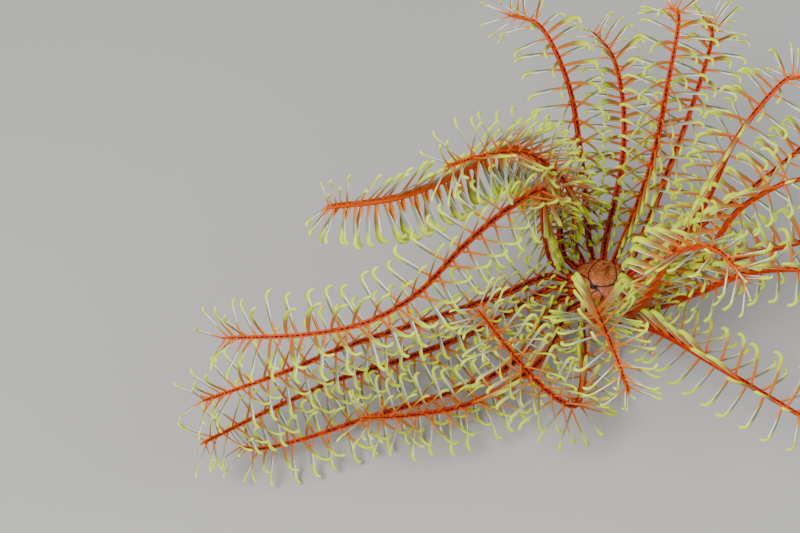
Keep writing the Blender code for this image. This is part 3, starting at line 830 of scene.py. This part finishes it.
def stub_direction(azimuth):
    return (around(azimuth, STUB_END - LIMB_END, 0) + UP * (STUB_HEIGHT - TRUNK_HEIGHT)).normalized()


def fork_point(turn):
    return around(turn, LIMB_END, (TRUNK_HEIGHT + STUB_HEIGHT) / 2)


def far_route(index, rng):
    """An arm on the side away from the viewer: it rises from its root, arches out and droops a little."""
    elevation, reach, height = FAR_SHAPES[index % len(FAR_SHAPES)]
    azimuth = (index + 0.5) * ARM_TURN + rng.uniform(-1, 1) * FAR_SWAY
    first = FAR_FIRST * reach
    crest = height * FAR_CREST
    points = [around(azimuth, STUB_END + first, STUB_HEIGHT + first * math.tan(math.radians(elevation)))]
    heights = ((points[0].z + crest * 2) / 3, crest, height)
    for (share, sway), station_height in zip(FAR_STATIONS, heights):
        points.append(around(azimuth + FAR_SWAY * sway, share * reach, station_height))
    return points


def arm_route(index):
    azimuth = (index + 0.5) * ARM_TURN
    direction = stub_direction(azimuth)
    end = around(azimuth, STUB_END, STUB_HEIGHT)
    start = end + direction * GAP
    inward = (UP - around(azimuth, ROOT_LEAN, 0)).normalized()
    if index in NEAR_ARMS:
        points = [Vector(p) * MM for p in NEAR_ARMS[index]]
        oral_at_tip = TURNED_AWAY if index == BACK_ARM else TOWARDS_VIEWER
    else:
        points, oral_at_tip = far_route(index, random.Random(index)), UP
    fork = fork_point((index // 2 + 0.5) * 2 * ARM_TURN)
    stub = end - direction * STUB_RUN
    lead = [fork, fork.lerp(stub, LEAD_MIDDLE), stub]
    return Route([start, start + direction * ROOT_RUN, *points], inward, oral_at_tip, lead)


# Skin

def bend(points, centres, first, second):
    """The points of a straight tube laid along centres, with x towards first and y towards second."""
    return centres + first * points[:, :1] + second * points[:, 1:2]


def strip_map(mesh, row, along, start, end):
    """The part of the unwrap where a tube lies: its length along U, and once round it along V."""
    u = STRIP_INSET + (1 - 2 * STRIP_INSET) * (start + (end - start) * along)
    v = STRIP * (row + 0.5 + (map_of(mesh, LIE)[:, 0] - 0.5) * STRIP_FILL)
    put_map(mesh, BAKE, np.stack([u, v], axis=1))


def ossicle_length(index, sizes):
    return sizes.ossicle * (BACK_OSSICLE if index == BACK_ARM else 1)


def arm_joints(route, ossicle):
    """The places of the joints along an arm, from inside its ray to its tip, where the ossicles are short."""
    steps = []
    while sum(steps) < route.length + route.lead:
        grown = min(1, len(steps) / GROWING_OSSICLES)
        steps.append(ossicle * (TIP_OSSICLE + (1 - TIP_OSSICLE) * grown))
    joints = np.concatenate([[0], np.cumsum(steps)])[::-1]
    return route.length - joints * (route.length + route.lead) / joints[0]


def ossicle_tube(route, joints, radius_at, row, span, name, grooved=True):
    """A jointed tube along a route, with a food groove on its oral side."""
    count = len(joints) - 1
    mesh = straight_tube(count * OSSICLE_RINGS, SHAFT_SIDES)
    points = points_of(mesh)
    rings, corners = numbered(points, count * OSSICLE_RINGS, SHAFT_SIDES)
    from_oral = SHAFT_SIDES // 2 - np.abs(corners)
    phase = rings % OSSICLE_RINGS
    places = np.interp(points[:, 2] * count, np.arange(count + 1), joints)
    shape = np.array(SECTION)[from_oral] * np.array(OSSICLE_WAIST)[phase]
    if grooved:
        shape += np.where(from_oral == 0, np.array(GROOVE_BRIDGE)[phase], 0)
        shape += np.where(from_oral == 1, np.array(LAPPET_BEADS)[phase], 0)
    else:
        shape = np.where(from_oral == 0, shape + UNGROOVED_RISE, shape)
    radius = radius_at(places)
    tilt = np.where(phase == 0, WEDGE_TILT, 0) * np.where((rings // OSSICLE_RINGS) % 2, 1, -1)
    ends = (rings == 0) | (rings == count * OSSICLE_RINGS)
    places = places + np.where(ends, 0, tilt * radius * points[:, 1])
    centres, tangents, orals = route.frames(places)
    points[:, :2] *= (radius * shape)[:, None]
    put_points(mesh, bend(points, centres, -orals, np.cross(tangents, -orals)))
    reached = np.interp(count_along(mesh, count), np.arange(count + 1), joints)
    strip_map(mesh, row, (reached - joints[0]) / (joints[-1] - joints[0]), *span)
    put_attribute(mesh, "reach", np.clip(places / route.length, 0, 1))
    put_attribute(mesh, "furrow", np.zeros(len(points)))
    return object_of(mesh, name)


def shaft(index, route, sizes):
    def radius_at(places):
        share = np.clip(places / route.length, 0, 1)
        radius = sizes.base_radius + (sizes.tip_radius - sizes.base_radius) * share ** TAPER
        if index == BACK_ARM:
            radius *= 1 + (BACK_GIRTH - 1) * smoothstep(*WIDENING, share)
        return radius * (1 - TIP_FALL * smoothstep(1 - TIP_FADE, 1, share))

    joints = arm_joints(route, ossicle_length(index, sizes))
    return ossicle_tube(route, joints, radius_at, index, (0, 1), "shaft")


def ray_tubes():
    """The trunk and two limbs of each ray. The arms' own shafts run on into the limbs."""
    made = []
    for index in range(RAY_COUNT):
        middle = RAY_TURN + index * math.tau / RAY_COUNT
        hub = around(middle, TRUNK_END, TRUNK_HEIGHT)
        start, end = around(middle, TRUNK_START, TRUNK_HEIGHT), hub + around(middle, RAY_OVERLAP, 0)
        runs = [(start, end, TRUNK_RADIUS)]
        for side in (-1, 1):
            fork = fork_point(middle + side * ARM_TURN)
            along = (fork - hub).normalized()
            runs.append((hub - along * HUB_OVERLAP, fork + along * RAY_OVERLAP, LIMB_RADIUS))
        for k, (start, end, radius) in enumerate(runs):
            route = Route([start, start.lerp(end, 0.5), end], UP, UP)
            joints = np.linspace(0, route.length, RAY_OSSICLES + 1)
            row, column = divmod(index * 3 + k, MAP_BLOCKS)
            span = (column / MAP_BLOCKS, (column + BLOCK_FILL) / MAP_BLOCKS)
            made.append(ossicle_tube(
                route, joints, lambda s: np.full(len(s), radius), ARM_COUNT + row, span, "ray",
                grooved=False))
    return made


def furrow_lines(rim):
    """The food grooves on the disc, from the mouth round the anal cone and out to each arm."""
    lines = []
    mouth = around(MOUTH_TURN, MOUTH_REACH, 0)
    for k in range(RAY_COUNT):
        azimuth = RAY_TURN + k * math.tau / RAY_COUNT
        turn = (azimuth - MOUTH_TURN + math.pi) % math.tau - math.pi
        hub = around(azimuth, FURROW_HUB, 0)
        steps = max(1, round(abs(turn) / FURROW_TURN))
        course = [around(MOUTH_TURN + turn * i / steps, FURROW_ROUND, 0) for i in range(1, steps)]
        lines += zip([mouth, *course], [*course, hub])
        for side in (-1, 1):
            fork = around(azimuth + side * ARM_TURN * FURROW_SPLIT, FURROW_FORK, 0)
            lines.append((hub, fork))
            for half in (-0.5, 0.5):
                lines.append((fork, around(azimuth + (side + half) * ARM_TURN, rim, 0)))
    return lines


def furrow_depth(flat, lines):
    """How near each point of the disc, seen from above, lies to a food groove: 1 on it and 0 away from it."""
    nearest = np.full(len(flat), np.inf)
    for start, end in lines:
        a, b = np.array(start[:2]), np.array(end[:2])
        share = np.clip((flat - a) @ (b - a) / ((b - a) @ (b - a)), 0, 1)
        nearest = np.minimum(nearest, np.linalg.norm(flat - a - share[:, None] * (b - a), axis=1))
    return np.exp(-(nearest / FURROW_WIDTH) ** 2)


def disc_skin(sizes):
    """The domed disc, whose edge laps down between the arms."""
    mesh, share, azimuth, radius, height = lathed(rings=46, sides=120, profile=DISC_PROFILE)
    height *= MM
    at_edge = smoothstep(0.12, 0.3, share) * smoothstep(0.62, 0.4, share)
    lobes = np.cos(azimuth * ARM_COUNT - math.pi)
    radius *= 1 + DISC_LOBES * lobes * at_edge
    height -= DISC_DROOP * (1 - lobes) * at_edge * smoothstep(0.5, 0.3, share)
    flat = np.stack([radius * np.cos(azimuth), radius * np.sin(azimuth)], axis=1)
    upper = smoothstep(0.3, 0.42, share)
    furrow = furrow_depth(flat, furrow_lines(sizes.disc_radius * FURROW_OVERRUN)) * upper
    mouth = np.array(around(MOUTH_TURN, MOUTH_REACH, 0)[:2])
    pit = np.exp(-(np.linalg.norm(flat - mouth, axis=1) / MOUTH_RADIUS) ** 2) * upper
    swell = np.prod([np.sin(azimuth * turns + radius * run) for turns, run in WRINKLE_WAVES], axis=0)
    height += upper * WRINKLE * swell - furrow * FURROW_DEPTH - pit * MOUTH_DEPTH
    height += upper * FURROW_RIM * np.clip(furrow * 4 * (1 - furrow), 0, 1)
    put_round(mesh, azimuth, radius, height)
    # The sunken grooves and mouth pit, which the disc's finish paints near black as painted shade
    put_attribute(mesh, "furrow", np.clip(furrow + pit, 0, 1))
    put_attribute(mesh, "reach", np.zeros(len(share)))
    ends = np.empty(len(mesh.loops), np.int32)
    mesh.loops.foreach_get("vertex_index", ends)
    scale = DISC_MAP_HALF * STRIP / DISC_MAP_REACH
    under, upper = DISC_MAP_MIDDLES
    middle_u = np.where(map_of(mesh, LIE)[:, 1] < DISC_UNDER, under, upper)
    middle = np.stack([middle_u, np.full(len(ends), STRIP * DISC_MAP_ROW)], axis=1)
    put_map(mesh, BAKE, middle + flat[ends] * scale)
    return object_of(mesh, "disc")


def cone_skin():
    """The anal cone: a ribbed tube whose open end turns in."""
    mesh, share, azimuth, radius, height = lathed(rings=26, sides=30, profile=CONE_PROFILE)
    height = CONE_LOW.z + height * (CONE_HIGH.z - CONE_LOW.z)
    ribs = CONE_RIB_SHARE * np.cos(azimuth * CONE_RIBS) * smoothstep(0.05, 0.3, share)
    radius *= 1 + ribs + CONE_RING_SHARE * np.sin(height * CONE_RING_WAVE)
    put_round(mesh, azimuth, radius, height)
    # The inturned open end, which the disc's finish paints near black as painted shade in the opening
    put_attribute(mesh, "furrow", smoothstep(0.84, 0.92, share))
    put_attribute(mesh, "reach", np.zeros(len(share)))
    strip_map(mesh, ARM_COUNT + 1, map_of(mesh, LIE)[:, 1], *CONE_SPAN)
    return object_of(mesh, "cone")


class OBJECT_OT_crinoid_skin(bpy.types.Operator):
    """Build the skin: arm shafts, rays, disc and anal cone in one"""

    bl_idname = "crinoid.skin"
    bl_label = "Skin"

    def execute(self, context):
        scene = context.scene
        pieces = [shaft(i, arm_route(i), scene.crinoid_arm) for i in range(ARM_COUNT)]
        pieces += ray_tubes()
        soft = [disc_skin(scene.crinoid_body), cone_skin()]
        for group, finish in ((pieces, shaft_finish), (soft, disc_finish)):
            made = finish(scene.crinoid_colours)
            for piece in group:
                piece.data.materials.append(made)
        skin = joined([*pieces, *soft], "skin")
        nodes = [node for i in range(ARM_COUNT) for node in arm_nodes(i)]
        nodes += [f"ray_{i + 1}" for i in range(RAY_COUNT)]
        place(skin, "arm", "tegmen", "anal_cone", *nodes)
        return {"FINISHED"}


# Pinnules

def straight_pinnule():
    """One pinnule along +Z from 0 to 1, its skirt towards +X. Its width is in metres."""
    mesh = straight_tube(len(PINNULE_RINGS) - 1, PINNULE_SIDES)
    table = np.array(PINNULE_RINGS)
    points = points_of(mesh)
    rings, corners = numbered(points, len(table) - 1, PINNULE_SIDES)
    section = np.array(PINNULE_SECTION)[np.abs(corners)]
    points[:, 0] = (1 + section[:, 0]) * table[rings, 1] * MM - BEAD_RADIUS
    points[:, 1] = section[:, 1] * np.sign(corners) * table[rings, 1] * MM
    skirt = np.where(corners == 0, table[rings, 2] * MM, 0)
    points[:, 2] = table[rings, 0] / CURVE_STEPS
    put_points(mesh, points)
    put_attribute(mesh, "skirt", skirt)
    lie = map_of(mesh, LIE)
    lie[:, 1] = np.interp(lie[:, 1] * (len(table) - 1), np.arange(len(table)), table[:, 0] / CURVE_STEPS)
    put_map(mesh, LIE, lie)
    for face in mesh.polygons:
        middle = sum(lie[i, 0] for i in face.loop_indices) / face.loop_total
        quad = face.loop_total == 4
        face.material_index = int(quad and not 1 / PINNULE_SIDES < middle < 1 - 1 / PINNULE_SIDES)
    return mesh


class Rows:
    """The pinnules of one arm, as arrays with one entry each."""

    def __init__(self, index, route, arm, sizes):
        rng = np.random.default_rng(sizes.seed * 100 + index)
        turned = index == BACK_ARM
        joints = arm_joints(route, ossicle_length(index, arm))
        middles = (joints[1:] + joints[:-1]) / 2
        self.s = middles[middles > FIRST_PINNULE]
        count = len(self.s)
        order = np.arange(count)
        self.side = np.where((order + index) % 2, 1, -1)
        oral_row = (order // 2) % 2 == 0
        along = self.s / route.length
        near_tip = np.clip(1 - (route.length - self.s) / TIP_STRETCH, 0, 1)
        tilts = BACK_TILTS if turned else (sizes.side_tilt, sizes.oral_tilt)
        leans = BACK_LEANS if turned else (sizes.lean, sizes.lean)
        hooks = BACK_HOOKS if turned else HOOKS
        spreads = BACK_SPREADS if turned else SPREADS
        self.tilt = np.where(oral_row, tilts[1], tilts[0]) + rng.normal(0, TILT_NOISE, count)
        lean = np.where(self.side > 0, *leans)
        hook = np.where(self.side > 0, *hooks)
        if not turned:
            folded = smoothstep(FOLD_START, FOLD_END, route.length - self.s)
            self.tilt += np.where(oral_row, np.where(self.side > 0, *ORAL_RISES) * folded, 0)
            lean = np.where(oral_row, sizes.oral_lean - ORAL_FOLD * folded, lean)
            hook = np.where(oral_row, 1, hook)
        self.lean = lean + (sizes.tip_lean - lean) * near_tip ** 2
        self.lean += rng.normal(0, LEAN_NOISE + TIP_LEAN_NOISE * near_tip)
        grown = np.interp(self.s, GROWTH, (ROOT_LENGTH, 1))
        self.length = sizes.length * np.minimum(grown, 1 - (1 - TIP_LENGTH) * near_tip)
        self.length *= rng.uniform(*LENGTH_RANGE, count)
        self.hook = sizes.hook * hook * (1 - TIP_HOOK_LOSS * near_tip) * rng.uniform(*HOOK_RANGE, count)
        self.slim = ROOT_SLIM - SLIM_LOSS * along - TIP_SLIM_LOSS * near_tip
        self.spread = np.where(oral_row, spreads[1], spreads[0]) * (1 - TIP_SPREAD_LOSS * near_tip)
        self.spread *= rng.uniform(*SPREAD_RANGE, count)
        if turned:
            self.slim *= BACK_GIRTH
            self.slim[self.side < 0] *= BACK_UPPER_GIRTH
            self.spread[self.side < 0] *= BACK_UPPER_SPREAD
        self.tone = TONE_NOISE * rng.uniform(0, 1, count) + (1 - TONE_NOISE) * along
        self.oral = oral_row.astype(float)
        self.roots, self.tangents, self.orals = route.frames(self.s)

    def outward(self):
        across = np.cross(self.tangents, self.orals) * (self.side * np.cos(self.tilt))[:, None]
        return across + self.orals * np.sin(self.tilt)[:, None]

    def curves(self):
        """Middle lines as (pinnule, step, xyz), with the direction in which each skirt faces."""
        share = np.linspace(0, 1, CURVE_STEPS + 1)
        bow = BOW * smoothstep(0, BOW_END, share)
        curl = smoothstep(*CURL, share)
        turn = self.lean[:, None] - bow - self.hook[:, None] * curl
        outward = self.outward()[:, None]
        tangent = self.tangents[:, None]
        headings = outward * np.cos(turn)[..., None] + tangent * np.sin(turn)[..., None]
        distal = tangent * np.cos(turn)[..., None] - outward * np.sin(turn)[..., None]
        steps = (headings[:, 1:] + headings[:, :-1]) / 2 * (self.length[:, None, None] / CURVE_STEPS)
        run = np.concatenate([np.zeros_like(steps[:, :1]), np.cumsum(steps, axis=1)], axis=1)
        return self.roots[:, None] + run, distal, np.cross(outward, tangent)[:, 0]

    def clear_of(self, others, own):
        """Turns and shortens the pinnules that would meet a shaft or the floor, and drops the last few."""
        length, tilt = self.length.copy(), self.tilt.copy()
        for share, change in PINNULE_TRIES:
            blocked = self.blocked(others, own)
            if not blocked.any():
                return
            self.length[blocked] = length[blocked] * share
            self.tilt[blocked] = tilt[blocked] + math.radians(change)
        kept = ~self.blocked(others, own)
        for name, values in vars(self).items():
            setattr(self, name, values[kept])

    def blocked(self, others, own):
        curves = self.curves()[0][:, CHECKED_STEPS]
        low = curves[:, :, 2].min(axis=1) < FLOOR_ROOM
        own_places = others[:, 3]
        meets = np.zeros(len(low), bool)
        for i, line in enumerate(curves):
            near = np.linalg.norm(others[:, :3] - line[len(line) // 2], axis=1) < self.length[i]
            mine = own & (np.abs(own_places - self.s[i]) < OWN_SHAFT_RUN)
            close = others[near & ~mine, :3]
            if len(close):
                ways = np.linalg.norm(line[:, None] - close[None], axis=2)
                meets[i] = ways.min() < SHAFT_ROOM
        return low | meets

    def swayed(self, chosen, tilt, lean, share):
        """A copy of some pinnules, tilted and leaned further, at a share of their length."""
        made = copy.copy(self)
        for name, values in vars(self).items():
            setattr(made, name, values[chosen])
        made.tilt = made.tilt + math.radians(tilt)
        made.lean = made.lean + math.radians(lean)
        made.length = made.length * share
        return made


class Crowd:
    """The pinnules of all arms, which sway to where they meet no others."""

    def __init__(self, every, template, places, owners):
        self.every = every
        self.template = template
        self.places = places
        self.owners = owners
        self.faces = [tuple(face.vertices) for face in template.polygons]
        self.trees = [self.tree(bent_points(rows, template)) for rows in every]

    def tree(self, points):
        step = points.shape[1]
        faces = [tuple(v + i * step for v in face) for i in range(len(points)) for face in self.faces]
        return BVHTree.FromPolygons(points.reshape(-1, 3).tolist(), faces)

    def met(self, index, number, points):
        """How many faces of other pinnules this shape of one pinnule meets."""
        own = BVHTree.FromPolygons(points.tolist(), self.faces)
        count = sum(len(own.overlap(tree)) for other, tree in enumerate(self.trees) if other != index)
        return count + sum(face // len(self.faces) != number for _, face in own.overlap(self.trees[index]))

    def settle(self, index):
        """Sways one arm's pinnules, each to where it meets the fewest faces of others."""
        rows, best = self.every[index], {}
        shapes = bent_points(rows, self.template)
        fewest = np.array([self.met(index, i, shape) for i, shape in enumerate(shapes)])
        crowded = np.flatnonzero(fewest)
        for sway in PINNULE_SWAYS:
            if not len(crowded):
                break
            tried = rows.swayed(crowded, *sway)
            shapes = bent_points(tried, self.template)
            for k in np.flatnonzero(~tried.blocked(self.places, self.owners == index)):
                count = self.met(index, crowded[k], shapes[k])
                if count < fewest[crowded[k]]:
                    fewest[crowded[k]] = count
                    best[crowded[k]] = (tried.tilt[k], tried.lean[k], tried.length[k])
            crowded = crowded[fewest[crowded] > 0]
        for i, values in best.items():
            rows.tilt[i], rows.lean[i], rows.length[i] = values
        self.trees[index] = self.tree(bent_points(rows, self.template))

    def settle_all(self):
        order = sorted(range(len(self.every)), key=lambda index: index in NEAR_ARMS)
        for _ in range(SWAY_ROUNDS):
            for index in order:
                self.settle(index)


def shaft_places(routes):
    """Points along every shaft and cirrus, each with its place there, and the arm it is on, or -1."""
    rows, owners = [], []
    feet = [(-1, cirrus_route(index)) for index in range(CIRRUS_COUNT)]
    for owner, route in [*enumerate(routes), *feet]:
        s = np.arange(-route.lead, route.length, SHAFT_STEP)
        rows.append(np.column_stack([route.at(s), s]))
        owners += [owner] * len(s)
    return np.vstack(rows), np.array(owners)


def tuft_map(mesh, rows, route, index, copies):
    """Each pinnule as a small patch at its root's place on the skin's unwrap."""
    lie = map_of(mesh, LIE).reshape(copies, -1, 2)
    along = STRIP_INSET + (1 - 2 * STRIP_INSET) * (rows.s + route.lead) / (route.length + route.lead)
    turn = 0.5 + rows.side * (math.pi / 2 - rows.tilt) / math.tau
    across = STRIP * (index + 0.5 + (turn - 0.5) * STRIP_FILL)
    patch = np.stack([along, across], axis=1)[:, None] + (lie - 0.5) * TUFT_PATCH
    put_map(mesh, BAKE, patch.reshape(-1, 2))


def bent_points(rows, template):
    """The straight pinnule's points bent along each middle line, as (pinnule, point, xyz)."""
    points = points_of(template)[None]
    curves, distal, sideways = rows.curves()
    steps = np.rint(points[0, :, 2] * CURVE_STEPS).astype(int)
    slim = rows.slim[:, None, None]
    skirt = values_of(template.attributes["skirt"].data, "value", 1) * rows.spread[:, None, None]
    twist = (ORAL_TWIST * rows.oral * rows.side)[:, None, None]
    x, y = points[..., :1] + skirt, points[..., 1:2]
    bent = curves[:, steps] + distal[:, steps] * (x * np.cos(twist) - y * np.sin(twist)) * slim
    return bent + sideways[:, None] * (x * np.sin(twist) + y * np.cos(twist)) * slim


def pinnule_rows(index, route, rows, template):
    count = len(rows.s)
    mesh = arrayed(template, count)
    bent = bent_points(rows, template)
    put_points(mesh, bent.reshape(-1, 3))
    put_attribute(mesh, "tone", np.repeat(rows.tone, bent.shape[1]))
    put_attribute(mesh, "oral", np.repeat(rows.oral, bent.shape[1]))
    tuft_map(mesh, rows, route, index, count)
    return object_of(mesh, f"pinnules_{index + 1:02d}")


class OBJECT_OT_crinoid_pinnules(bpy.types.Operator):
    """Build four rows of hooked pinnules on each arm"""

    bl_idname = "crinoid.pinnules"
    bl_label = "Pinnules"

    def execute(self, context):
        scene = context.scene
        routes = [arm_route(i) for i in range(ARM_COUNT)]
        points, owners = shaft_places(routes)
        template = straight_pinnule()
        template.materials.append(bead_finish(scene.crinoid_colours))
        template.materials.append(skirt_finish(scene.crinoid_colours))
        every = [Rows(i, route, scene.crinoid_arm, scene.crinoid_pinnule) for i, route in enumerate(routes)]
        for index, rows in enumerate(every):
            rows.clear_of(points, owners == index)
        Crowd(every, template, points, owners).settle_all()
        for index, route in enumerate(routes):
            piece = pinnule_rows(index, route, every[index], template)
            place(piece, "arm", *arm_nodes(index))
        return {"FINISHED"}


# Cup and cirri

class OBJECT_OT_crinoid_cup(bpy.types.Operator):
    """Build the bony cup with its sockets and radial plates"""

    bl_idname = "crinoid.cup"
    bl_label = "Cup"

    def execute(self, context):
        mesh, share, azimuth, radius, height = lathed(rings=40, sides=120, profile=CUP_PROFILE)
        height = CUP_LOW.z + height * MM
        plates = smoothstep(0.62, 0.72, share)
        turn = (azimuth - RAY_TURN) * RAY_COUNT
        radius *= 1 + plates * PLATE_SHARE * np.cos(turn)
        sutures = np.exp(-(np.sin((turn - math.pi) / 2) * SUTURE_SHARPNESS) ** 2)
        radius -= plates * SUTURE_DEPTH * sutures
        drum = smoothstep(0.2, 0.3, share) * smoothstep(0.62, 0.52, share)
        sockets = np.cos((azimuth - math.pi / CIRRUS_COUNT) * CIRRUS_COUNT)
        radius -= drum * SOCKET_DEPTH * (1 - sockets) / 2
        turns, run = CUP_GRAIN_WAVES
        radius += drum * CUP_GRAIN * np.sin(azimuth * turns) * np.sin(share * run)
        put_round(mesh, azimuth, radius, height)
        piece = object_of(mesh, "cup", cup_finish(context.scene.crinoid_colours))
        place(piece, "cup", "centrodorsal")
        return {"FINISHED"}


def cirrus_route(index):
    azimuth = (index + 0.5) * math.tau / CIRRUS_COUNT
    return Route([around(azimuth, r * MM, z * MM) for r, z in CIRRUS_ROUTE], UP, UP)


class OBJECT_OT_crinoid_cirri(bpy.types.Operator):
    """Build the jointed feet that end in claws"""

    bl_idname = "crinoid.cirri"
    bl_label = "Cirri"

    def execute(self, context):
        finish = cirrus_finish(context.scene.crinoid_colours)
        count = context.scene.crinoid_body.cirrals
        waist = np.array(CIRRUS_WAIST)
        for index in range(CIRRUS_COUNT):
            route = cirrus_route(index)
            mesh = straight_tube(count * len(waist), CIRRUS_SIDES)
            points = points_of(mesh)
            share = points[:, 2]
            rings, _ = numbered(points, count * len(waist), CIRRUS_SIDES)
            radius = (CIRRUS_RADIUS - CIRRUS_TAPER * share) * waist[rings % len(waist)]
            radius *= 1 - CLAW_POINT * smoothstep(1 - CLAW_JOINTS / count, 1.0, share)
            centres, tangents, orals = route.frames(share * route.length)
            spine = np.exp(-(((1 - share) * count - SPINE_JOINTS) * SPINE_SHARPNESS) ** 2)
            points[:, :2] *= radius[:, None]
            bent = bend(points, centres, orals, np.cross(tangents, orals))
            bent[:, 2] += np.where(points[:, 0] > 0, spine * SPINE_HEIGHT, 0)
            bent[:, 2] = np.maximum(bent[:, 2], 0)
            put_points(mesh, bent)
            count_along(mesh, count)
            piece = object_of(mesh, f"foot_{index + 1:02d}", finish)
            place(piece, "cirrus", f"cirrus_{index + 1:02d}")
        return {"FINISHED"}


# Stage

def area_light(name, spot, power, size, colour):
    light = linked(name, bpy.data.lights.new(name, "AREA"))
    light.data.energy = power
    light.data.size = size
    light.data.color = colour
    light.location = spot
    light.rotation_euler = (Vector(LIGHT_AIM) - light.location).to_track_quat("-Z", "Y").to_euler()


class OBJECT_OT_crinoid_stage(bpy.types.Operator):
    """Set up the floor, the lights and the camera"""

    bl_idname = "crinoid.stage"
    bl_label = "Stage"

    def execute(self, context):
        stage = context.scene.crinoid_stage
        bm = bmesh.new()
        bmesh.ops.create_grid(bm, x_segments=2, y_segments=2, size=3)
        mesh = bpy.data.meshes.new("floor")
        bm.to_mesh(mesh)
        bm.free()
        object_of(mesh, "floor", floor_finish(stage.floor))
        world = bpy.data.worlds.new("studio")
        world.use_nodes = True
        backdrop = world.node_tree.nodes["Background"]
        backdrop.inputs["Color"].default_value = WORLD_COLOUR
        backdrop.inputs["Strength"].default_value = WORLD_STRENGTH
        context.scene.world = world
        area_light("key", spot=(-0.45, -0.55, 0.95), power=stage.key, size=0.45, colour=(1.0, 0.97, 0.93))
        area_light("fill", spot=(0.8, -0.2, 0.6), power=stage.fill, size=0.8, colour=(0.93, 0.96, 1.0))
        camera = linked("camera", bpy.data.cameras.new("camera"))
        camera.data.lens = stage.lens
        camera.data.clip_start = 0.01
        camera.data.clip_end = 20
        camera.location = CAMERA_PLACE
        camera.rotation_euler = (CAMERA_TILT, 0, 0)
        context.scene.camera = camera
        return {"FINISHED"}


class VIEW3D_PT_crinoid(bpy.types.Panel):
    """The crinoid's sizes, colours and pieces"""

    bl_label = "Golden crinoid"
    bl_idname = "VIEW3D_PT_crinoid"
    bl_space_type = "VIEW_3D"
    bl_region_type = "UI"
    bl_category = "Crinoid"

    def draw(self, context):
        for operator in OPERATORS:
            self.layout.operator(operator.bl_idname)
        for name in SETTINGS:
            box = self.layout.box()
            group = getattr(context.scene, name)
            for key in group.__annotations__:
                box.prop(group, key)


OPERATORS = (
    OBJECT_OT_crinoid_skin,
    OBJECT_OT_crinoid_pinnules,
    OBJECT_OT_crinoid_cup,
    OBJECT_OT_crinoid_cirri,
    OBJECT_OT_crinoid_stage,
)
SETTINGS = {
    "crinoid_arm": CrinoidArmSettings,
    "crinoid_pinnule": CrinoidPinnuleSettings,
    "crinoid_body": CrinoidBodySettings,
    "crinoid_colours": CrinoidColours,
    "crinoid_stage": CrinoidStageSettings,
}


def register():
    for cls in (*SETTINGS.values(), *OPERATORS, VIEW3D_PT_crinoid):
        bpy.utils.register_class(cls)
    for name, cls in SETTINGS.items():
        setattr(bpy.types.Scene, name, PointerProperty(type=cls))


def unregister():
    for name in SETTINGS:
        delattr(bpy.types.Scene, name)
    for cls in (VIEW3D_PT_crinoid, *reversed(OPERATORS), *SETTINGS.values()):
        bpy.utils.unregister_class(cls)


def main():
    register()
    bpy.ops.crinoid.skin()
    bpy.ops.crinoid.pinnules()
    bpy.ops.crinoid.cup()
    bpy.ops.crinoid.cirri()
    bpy.ops.crinoid.stage()


if __name__ == "__main__":
    main()
